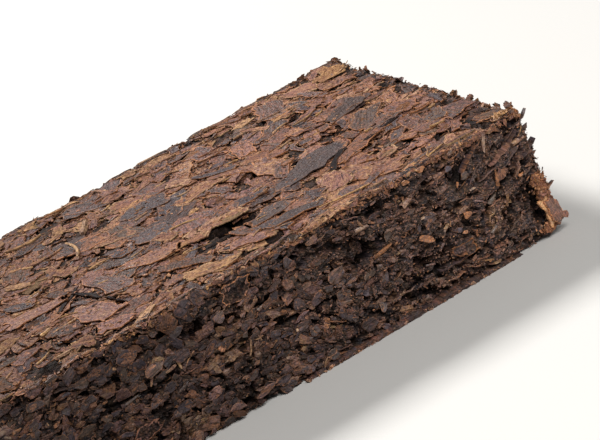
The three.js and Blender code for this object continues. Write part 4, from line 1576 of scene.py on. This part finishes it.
class TEA_OT_rolled(bpy.types.Operator):
    """Add the pieces of leaf that dried into rolls and curls"""

    bl_idname = "tea.add_rolled_leaf"
    bl_label = "Rolled leaf"

    def execute(self, context):
        settings, colours = context.scene.tea_leaf, context.scene.tea_colours
        heap = Heap()
        shares = {name: 0.86 * side_share(name) for name in SIDES} | {"top": 0.1, "base": 0.04}
        for name, share in shares.items():
            face = FACES[name]
            rng = face.rng
            u, v, high = scatter(face, int(settings.rolled * share), rng, 0.2, clear=1.8)
            count = len(u)
            radius = rng.uniform(0.28, 0.62, count) * (0.7 if face.flat else 1)
            shapes = roll_shapes(rng, rng.uniform(1.2, 3.8, count), radius, rng.uniform(2, 4.6, count))
            turns = np.radians(face.layers(u, v) + rng.normal(0, 18, count))
            level = high - radius * (0.9 if face.flat else 0.6)
            tilts = rng.normal(0, 0.9, count), rng.normal(0, 0.15 if face.flat else 0.3, count)
            placed = stand(face, shapes, u, v, level, *tilts, turns)
            if name == "base":  # rolls that were under the brick are crushed flat and don't show
                continue
            leaf = np.full(shapes.shape, 0.2)
            leaf[..., 0] = np.clip(rng.normal(0.4, 0.22, count), 0, 1)[:, None]
            leaf[..., 1] = (rng.uniform(0.75, 1.2, count) * face.paling(u))[:, None]
            heap.add_many(placed, roll_faces(), leaf, own_grain(rng, shapes))
        heap.piece("rolled_leaf", rolled_tea_leaf(colours), 50)
        return {"FINISHED"}


# Stalks that catch the eye: face, u, v, long, thick, turn, bow, tint.
BOLD_STALKS = [
    ("top", 27, -39.8, 12, 0.5, -6, 0.02, 0.95),
    ("top", -19.2, 11, 11, 0.8, -96, -0.1, 1),
    ("top", -12.6, 21.6, 8, 1.7, 65, 0.01, 0.92),
    ("top", -39.5, -24.6, 2.8, 0.9, 22, 0.05, 1),
    ("top", 47.4, -41.6, 4, 0.25, -120, 0.15, 1),
    ("top", 45, 15, 7, 0.5, 20, 0.1, 0.9),
    ("near", -6.3, -1.4, 3.6, 0.5, 66, 0.05, 0.85),
    ("near", -21.5, 3.6, 3.4, 0.5, 105, 0.08, 0.9),
    ("near", -23.4, 3.4, 2.6, 0.7, 10, 0.05, 0.8),
    ("near", -27.8, 3.6, 3.6, 0.6, 70, 0.08, 0.75),
    ("near", 60, -1, 4.4, 0.6, 60, 0.05, 0.7),
]


class TEA_OT_stalks(bpy.types.Operator):
    """Add bits of stem to the faces and sides"""

    bl_idname = "tea.add_stalks"
    bl_label = "Stalks"

    def execute(self, context):
        settings, colours = context.scene.tea_leaf, context.scene.tea_colours
        heap = Heap()
        shares = {name: 0.5 * side_share(name) for name in SIDES} | {"top": 0.4, "base": 0.1}
        for name, share in shares.items():
            face = FACES[name]
            rng = face.rng
            u, v, _ = scatter(face, int(settings.stalks * share), rng, 0.2)
            count = len(u)
            own = [row[1:] for row in BOLD_STALKS if row[0] == name]
            long = (1.8 + 7 * rng.beta(1.2, 3.2, count)) * (1 if face.flat else 0.6)
            thick, turn = rng.uniform(0.22, 0.62, count), rng.normal(-4, 32, count)
            bow, tint = rng.normal(0, 0.07, count), rng.uniform(0.5, 1.0, count)
            rows = np.column_stack([u, v, long, thick, turn, bow, tint])
            rows = np.concatenate([rows, np.array(own).reshape(-1, 7)])
            u, v, long, thick, turn, bow, tint = rows.T
            shapes = stalk_shapes(rng, long, thick, bow)
            high = face.read(face.level, u, v) + (0.12 if name == "top" else 0.1)
            high[count:] += 0.25 if name == "top" else 0.45
            if name == "base":
                high = np.minimum(high, -0.05 - thick / 2)
            count = len(u)
            pitches = rng.normal(0, 0.03 if face.flat else 0.16, count)
            placed = stand(face, shapes, u, v, high, np.zeros(count), pitches, np.radians(turn))
            leaf = np.full(shapes.shape, 0.3)
            leaf[..., 0] = tint[:, None]
            leaf[..., 1] = rng.uniform(0.85, 1.15, count)[:, None]
            faces = tube_faces(STALK_RINGS, STALK_SIDES)
            heap.add_many(placed, faces, leaf, own_grain(rng, shapes))
        heap.piece("stalks", dried_tea_stem(colours), 50)
        return {"FINISHED"}


class TEA_OT_dust(bpy.types.Operator):
    """Sprinkle specks of broken leaf and stem over the top and the sides"""

    bl_idname = "tea.sprinkle_dust"
    bl_label = "Leaf dust"

    def execute(self, context):
        settings, colours = context.scene.tea_leaf, context.scene.tea_colours
        heap = Heap()
        shares = {name: 0.45 * side_share(name) for name in SIDES} | {"top": 0.55}
        for name, share in shares.items():
            face = FACES[name]
            rng = face.rng
            u, v, high = scatter(face, int(settings.dust * share), rng, 0.2)
            count = len(u)
            long = 0.22 + 0.75 * rng.beta(1.2, 3, count)
            wide, thick = long * rng.uniform(0.4, 0.9, count), rng.uniform(0.1, 0.2, count)
            shapes = flake_shapes(rng, long, wide, thick, rng.uniform(-0.8, 0.8, count))
            shapes[:, :FLAKE_CORNERS, 2] *= 0.5
            tilts, turns = rng.normal(0, 0.3, (2, count)), rng.uniform(-math.pi, math.pi, count)
            placed = stand(face, shapes, u, v, high + 0.03, *tilts, turns)
            tint = np.clip(rng.normal(0.62, 0.25, count), 0, 1)
            tone = rng.uniform(0.8, 1.3, count)
            heap.add_many(placed, FLAKE_FACES, *flake_notes(rng, shapes, tint, tone, 0.3))
        heap.piece("leaf_dust", leaf_and_stem_dust(colours))
        return {"FINISHED"}


# ------------ operators: lip and crust


def loose_crumbs(rng, heap, middle, spread, count, tints, rim=0.8):
    """Loose crumbs round a place, where leaf breaks up."""
    long = 0.4 + 1.3 * rng.beta(1.2, 2, count)
    thick, curl = rng.uniform(0.2, 0.6, count), rng.uniform(-1.2, 1.2, count)
    shapes = flake_shapes(rng, long, long * rng.uniform(0.5, 1, count), thick, curl)
    placed = np.einsum("nij,nkj->nki", turned(*rng.uniform(-math.pi, math.pi, (3, count))), shapes)
    placed = placed + (np.array(middle) + rng.normal(0, 0.5, (count, 3)) * spread)[:, None]
    placed[..., 2] = np.maximum(placed[..., 2], 0.05)
    tint, tone = rng.uniform(*tints, count), rng.uniform(0.6, 2.2, count)
    heap.add_many(placed, FLAKE_FACES, *flake_notes(rng, shapes, tint, tone, rim))


class TEA_OT_lip(bpy.types.Operator):
    """Squeeze the skin of the base out as a thin lip along the near edge"""

    bl_idname = "tea.press_lip"
    bl_label = "Pressed lip"

    def execute(self, context):
        rng, heap = np.random.default_rng(context.scene.tea_leaf.seed + 20), Heap()
        count = 150
        x = np.linspace(LIP_FROM, LIP_TO, count)
        fade = np.sqrt(np.clip(1 - np.abs(np.linspace(-1, 1, count)) ** 3, 0.03, 1))
        proud = (0.46 + 0.26 * smooth_noise(rng, count, 60)) * fade
        high = (1.1 + 0.24 * smooth_noise(rng, count, 17) + 0.2 * smooth_noise(rng, count, 70)) * fade
        front = -WIDTH / 2
        # A section of the lip: from inside the brick, up over the lip's rounded nose, and back.
        section = [(1.6, 0.05), (-0.85, 0.04), (-1.0, 0.3), (-0.95, 0.75), (-0.5, 1.0), (1.6, 1.1)]
        y, z = np.transpose(section)
        points = np.zeros((count, len(section), 3))
        points[..., 0] = x[:, None]
        points[..., 1] = front + np.where(y < 0, y * proud[:, None], y)
        points[..., 2] = z * high[:, None]
        points = points.reshape(-1, 3)
        points[:, 1:] += rng.normal(0, 0.06, (len(points), 2))
        points[:, 2] = np.maximum(points[:, 2], 0.03)
        leaf = np.tile([0.22, 0.9, 0.0], (len(points), 1))
        leaf[:, 0] += 0.2 * np.repeat(smooth_noise(rng, count, 40), len(section))
        leaf[:, 1] += 0.3 * np.repeat(smooth_noise(rng, count, 60), len(section))
        grain = np.stack([points[:, 0], points[:, 2] * 2, np.full(len(points), 7.0)], 1)
        heap.add(points, tube_faces(count, len(section)), leaf, grain)
        for start in range(4, 58, 3):
            loose_crumbs(rng, heap, (start, front - 0.25, 0.3), (2.4, 0.3, 0.5), 13, (0.1, 0.7))
        heap.piece("press_lip", mould_pressed_skin(context.scene.tea_colours), 45)
        return {"FINISHED"}


# The crust that peels off the right end, plate by plate: middle, the way along it, the way across
# it, long, wide, thick, rough, tint, tone.
CRUST = [
    ((68.9, -45.7, 5.5), (-0.3, 0.03, 1), (1, 0.25, 0.3), 6, 3.2, 0.8, 0.05, 0.34, 2.1),
    ((68.5, -45.1, 6.2), (-0.26, 0.03, 1), (1, 0.25, 0.3), 6.6, 4, 0.5, 0.14, 1, 2.1),
    ((68.1, -44.8, 12), (-0.15, 0.05, 1), (1, 0.2, -0.1), 5.4, 2.6, 1, 0.4, 0.64, 1.95),
    ((69.2, -44, 10.6), (0.05, 0.1, 1), (0.6, 0.8, 0), 5.2, 2.2, 0.9, 0.4, 0.66, 1.95),
    ((69.3, -41.7, 11), (0.02, 0.1, 1), (0, 1, 0.1), 7.4, 5.6, 1, 0.34, 0.6, 1.85),
    ((69.2, -41.4, 7), (-0.04, 0.05, 1), (0, 1, -0.1), 6.6, 5.4, 0.9, 0.2, 0.46, 1.2),
    ((67.2, -45.2, 10.6), (0.5, 0, 0.9), (0.9, 0.1, -0.5), 2.8, 1.5, 0.7, 0.3, 0.7, 1.35),
    ((66.9, -44.9, 3.2), (1, 0.1, 0.45), (-0.3, 0.2, 1), 3.6, 1, 0.5, 0.2, 0.6, 1.25),
    ((67.6, -44.9, 1.9), (1, 0.1, 0.35), (-0.3, 0.2, 1), 3, 0.8, 0.5, 0.2, 0.7, 1.25),
    ((69, -24.2, 29.8), (0.3, 1, 0.12), (1, -0.2, 0.7), 2.4, 1.7, 0.4, 0.16, 0.4, 0.8),
    ((69.3, -40.2, 30.5), (0.2, 1, 0.2), (1, 0.1, 0.6), 2.6, 1.5, 0.6, 0.2, 0.38, 1),
    ((69.4, -40.3, 30.1), (0.4, -0.6, 0.6), (0.8, 0.6, 0.1), 2.1, 1.1, 0.3, 0.16, 0.45, 1.2),
]


def free_plate(rng, heap, middle, along, across, long, wide, thick, rough, tint, tone):
    """Adds a torn plate of leaf that stands free: a leaf's outline, thickened and roughened."""
    flat = np.stack(leaf_outline(rng, long, wide), -1)
    along = np.array(along, float) / np.linalg.norm(along)
    across = np.array(across, float)
    across -= along * (across @ along)
    across /= np.linalg.norm(across)
    out = np.cross(along, across)
    bulge = thick / 2 + rough * rng.uniform(-1, 1, flat.shape[:2])
    bulge[[0, -1]] *= 0.5
    bulge[:, [0, -1]] *= 0.5
    upper = np.array(middle) + flat[..., :1] * along + flat[..., 1:] * across - bulge[..., None] * out
    rim = upper[LEAF_RIM]
    lower = rim + thick * out * rng.uniform(0.7, 1.1, (len(rim), 1))
    points = np.concatenate([upper.reshape(-1, 3), lower])
    points[:, 2] = np.maximum(points[:, 2], 0.05)
    grain = np.concatenate([flat.reshape(-1, 2), flat[LEAF_RIM]])
    grain = np.column_stack([grain, np.full(len(points), rng.uniform(0, LEAF_NUMBERS))])
    leaf = np.tile([tint, tone, 0.1], (len(points), 1))
    leaf[:, 1] *= 1 - 2.2 * rough * rng.uniform(-0.3, 1, len(points)) ** 2
    leaf[:, 0] += rough * rng.uniform(-0.6, 0.6, len(points))
    leaf[-len(rim) :, 2] = 0.7
    leaf[np.ravel_multi_index(LEAF_RIM, flat.shape[:2]), 2] = 0.8
    heap.add(points, [tuple(reversed(face)) for face in LEAF_FACES], leaf, grain)


class TEA_OT_crust(bpy.types.Operator):
    """Peel the crust of the right end away beside the near edge"""

    bl_idname = "tea.peel_crust"
    bl_label = "Peeling crust"

    def execute(self, context):
        rng, heap = np.random.default_rng(context.scene.tea_leaf.seed + 30), Heap()
        for plate in CRUST:
            free_plate(rng, heap, *plate)
        loose_crumbs(rng, heap, (67.9, -45.2, 12.8), (1.5, 0.4, 2.2), 280, (0.3, 0.95))
        loose_crumbs(rng, heap, (69.6, -43.0, 9.8), (0.4, 1.6, 2.8), 120, (0.3, 0.95))
        loose_crumbs(rng, heap, (66.4, -45.0, 2.6), (1.3, 0.3, 1.0), 70, (0.4, 0.8))
        # Pale grit of broken stem on the top's near right corner.
        loose_crumbs(rng, heap, (65.9, -42.6, 30.6), (1.9, 0.8, 0.1), 44, (1.0, 1.4), 0.1)
        heap.piece("peeled_crust", dry_leaf_crust(context.scene.tea_colours), 40)
        return {"FINISHED"}


# ------------ operator: stage


class TEA_OT_stage(bpy.types.Operator):
    """Set up the floor, the lights and the camera"""

    bl_idname = "tea.set_stage"
    bl_label = "Stage"

    def execute(self, context):
        stage = context.scene.tea_stage
        self.add_floor(stage)
        self.add_light("key_light", stage.key, 0.3, Vector((-0.3, 0.76, 0.86)))
        self.add_light("fill_light", stage.fill, 0.4, Vector((0.14, -0.54, 0.63)))
        world = bpy.data.worlds.new("studio")
        world.use_nodes = True
        background = world.node_tree.nodes["Background"]
        background.inputs["Color"].default_value = (*stage.air, 1)
        background.inputs["Strength"].default_value = stage.sky
        context.scene.world = world
        self.add_camera(context, stage)
        context.scene.view_settings.view_transform = "Standard"
        return {"FINISHED"}

    def add_floor(self, stage):
        """A pale matt floor: painted board, whose fine roller stipple only just shows."""
        mesh, far = bpy.data.meshes.new("floor"), 3  # metres to its edges
        corners = [(-far, -far, 0), (far, -far, 0), (far, far, 0), (-far, far, 0)]
        mesh.from_pydata(corners, [], [(0, 1, 2, 3)])
        material = bpy.data.materials.new("painted_board")
        material.use_nodes = True
        tree = material.node_tree
        shader = tree.nodes["Principled BSDF"]
        shader.inputs["Base Color"].default_value = (*stage.floor, 1)
        shader.inputs["Roughness"].default_value = 0.85
        where = node(tree, "TexCoord").outputs["Object"]
        stipple = node(tree, "TexNoise", {"Vector": where, "Scale": 1 / (1.1 * MM)})
        bump = node(tree, "Bump", {"Height": stipple, "Distance": 0.03 * MM})
        tree.links.new(bump.outputs[0], shader.inputs["Normal"])
        mesh.materials.append(material)
        floor = bpy.data.objects.new("floor", mesh)
        bpy.context.scene.collection.objects.link(floor)

    def add_light(self, name, watts, size, place):
        """A square soft light that points at the brick."""
        light = bpy.data.lights.new(name, "AREA")
        light.energy, light.size = watts, size
        lamp = bpy.data.objects.new(name, light)
        lamp.location = place
        lamp.rotation_euler = (Vector((0, 0, 0.02)) - place).to_track_quat("-Z", "Y").to_euler()
        bpy.context.scene.collection.objects.link(lamp)

    def add_camera(self, context, stage):
        """A long lens close over the near left corner, tipped so that the brick climbs to the right."""
        data = bpy.data.cameras.new("camera")
        data.lens, data.sensor_width = stage.lens, 36
        camera = bpy.data.objects.new("camera", data)
        place = Vector((-0.107, -0.40036, 0.17989))
        ahead = Vector((0.30035, 0.88134, -0.36473))
        right = Vector((0.83127, -0.42937, -0.35303))
        up = right.cross(ahead)
        turn = Matrix((right, up, -ahead)).transposed()
        camera.matrix_world = Matrix.Translation(place) @ turn.to_4x4()
        context.scene.collection.objects.link(camera)
        context.scene.camera = camera


# ------------ panel and registration

STEPS = [
    TEA_OT_core,
    TEA_OT_leaves,
    TEA_OT_crust,
    TEA_OT_crumbs,
    TEA_OT_sides,
    TEA_OT_flakes,
    TEA_OT_rolled,
    TEA_OT_stalks,
    TEA_OT_dust,
    TEA_OT_lip,
    TEA_OT_stage,
]


class TEA_PT_brick(bpy.types.Panel):
    """Lists the brick's settings and the steps that build it, in order"""

    bl_label = "Pressed Tea Brick"
    bl_idname = "TEA_PT_brick"
    bl_space_type = "VIEW_3D"
    bl_region_type = "UI"
    bl_category = "Tea Brick"

    def draw(self, context):
        for title, group in (
            ("Leaf", context.scene.tea_leaf),
            ("Colours", context.scene.tea_colours),
            ("Stage", context.scene.tea_stage),
        ):
            box = self.layout.box()
            box.label(text=title)
            for key in group.bl_rna.properties.keys():
                if key not in ("rna_type", "name"):
                    box.prop(group, key)
        column = self.layout.column()
        for step in STEPS:
            column.operator(step.bl_idname)


CLASSES = [TeaLeafSettings, TeaColourSettings, TeaStageSettings, *STEPS, TEA_PT_brick]


def register():
    for made in CLASSES:
        bpy.utils.register_class(made)
    bpy.types.Scene.tea_leaf = PointerProperty(type=TeaLeafSettings)
    bpy.types.Scene.tea_colours = PointerProperty(type=TeaColourSettings)
    bpy.types.Scene.tea_stage = PointerProperty(type=TeaStageSettings)


def unregister():
    del bpy.types.Scene.tea_stage
    del bpy.types.Scene.tea_colours
    del bpy.types.Scene.tea_leaf
    for made in reversed(CLASSES):
        bpy.utils.unregister_class(made)


def main():
    register()
    bpy.ops.tea.press_core()
    bpy.ops.tea.lay_leaves()
    bpy.ops.tea.peel_crust()
    bpy.ops.tea.fill_crumbs()
    bpy.ops.tea.break_sides()
    bpy.ops.tea.break_flakes()
    bpy.ops.tea.add_rolled_leaf()
    bpy.ops.tea.add_stalks()
    bpy.ops.tea.sprinkle_dust()
    bpy.ops.tea.press_lip()
    bpy.ops.tea.set_stage()


if __name__ == "__main__":
    main()
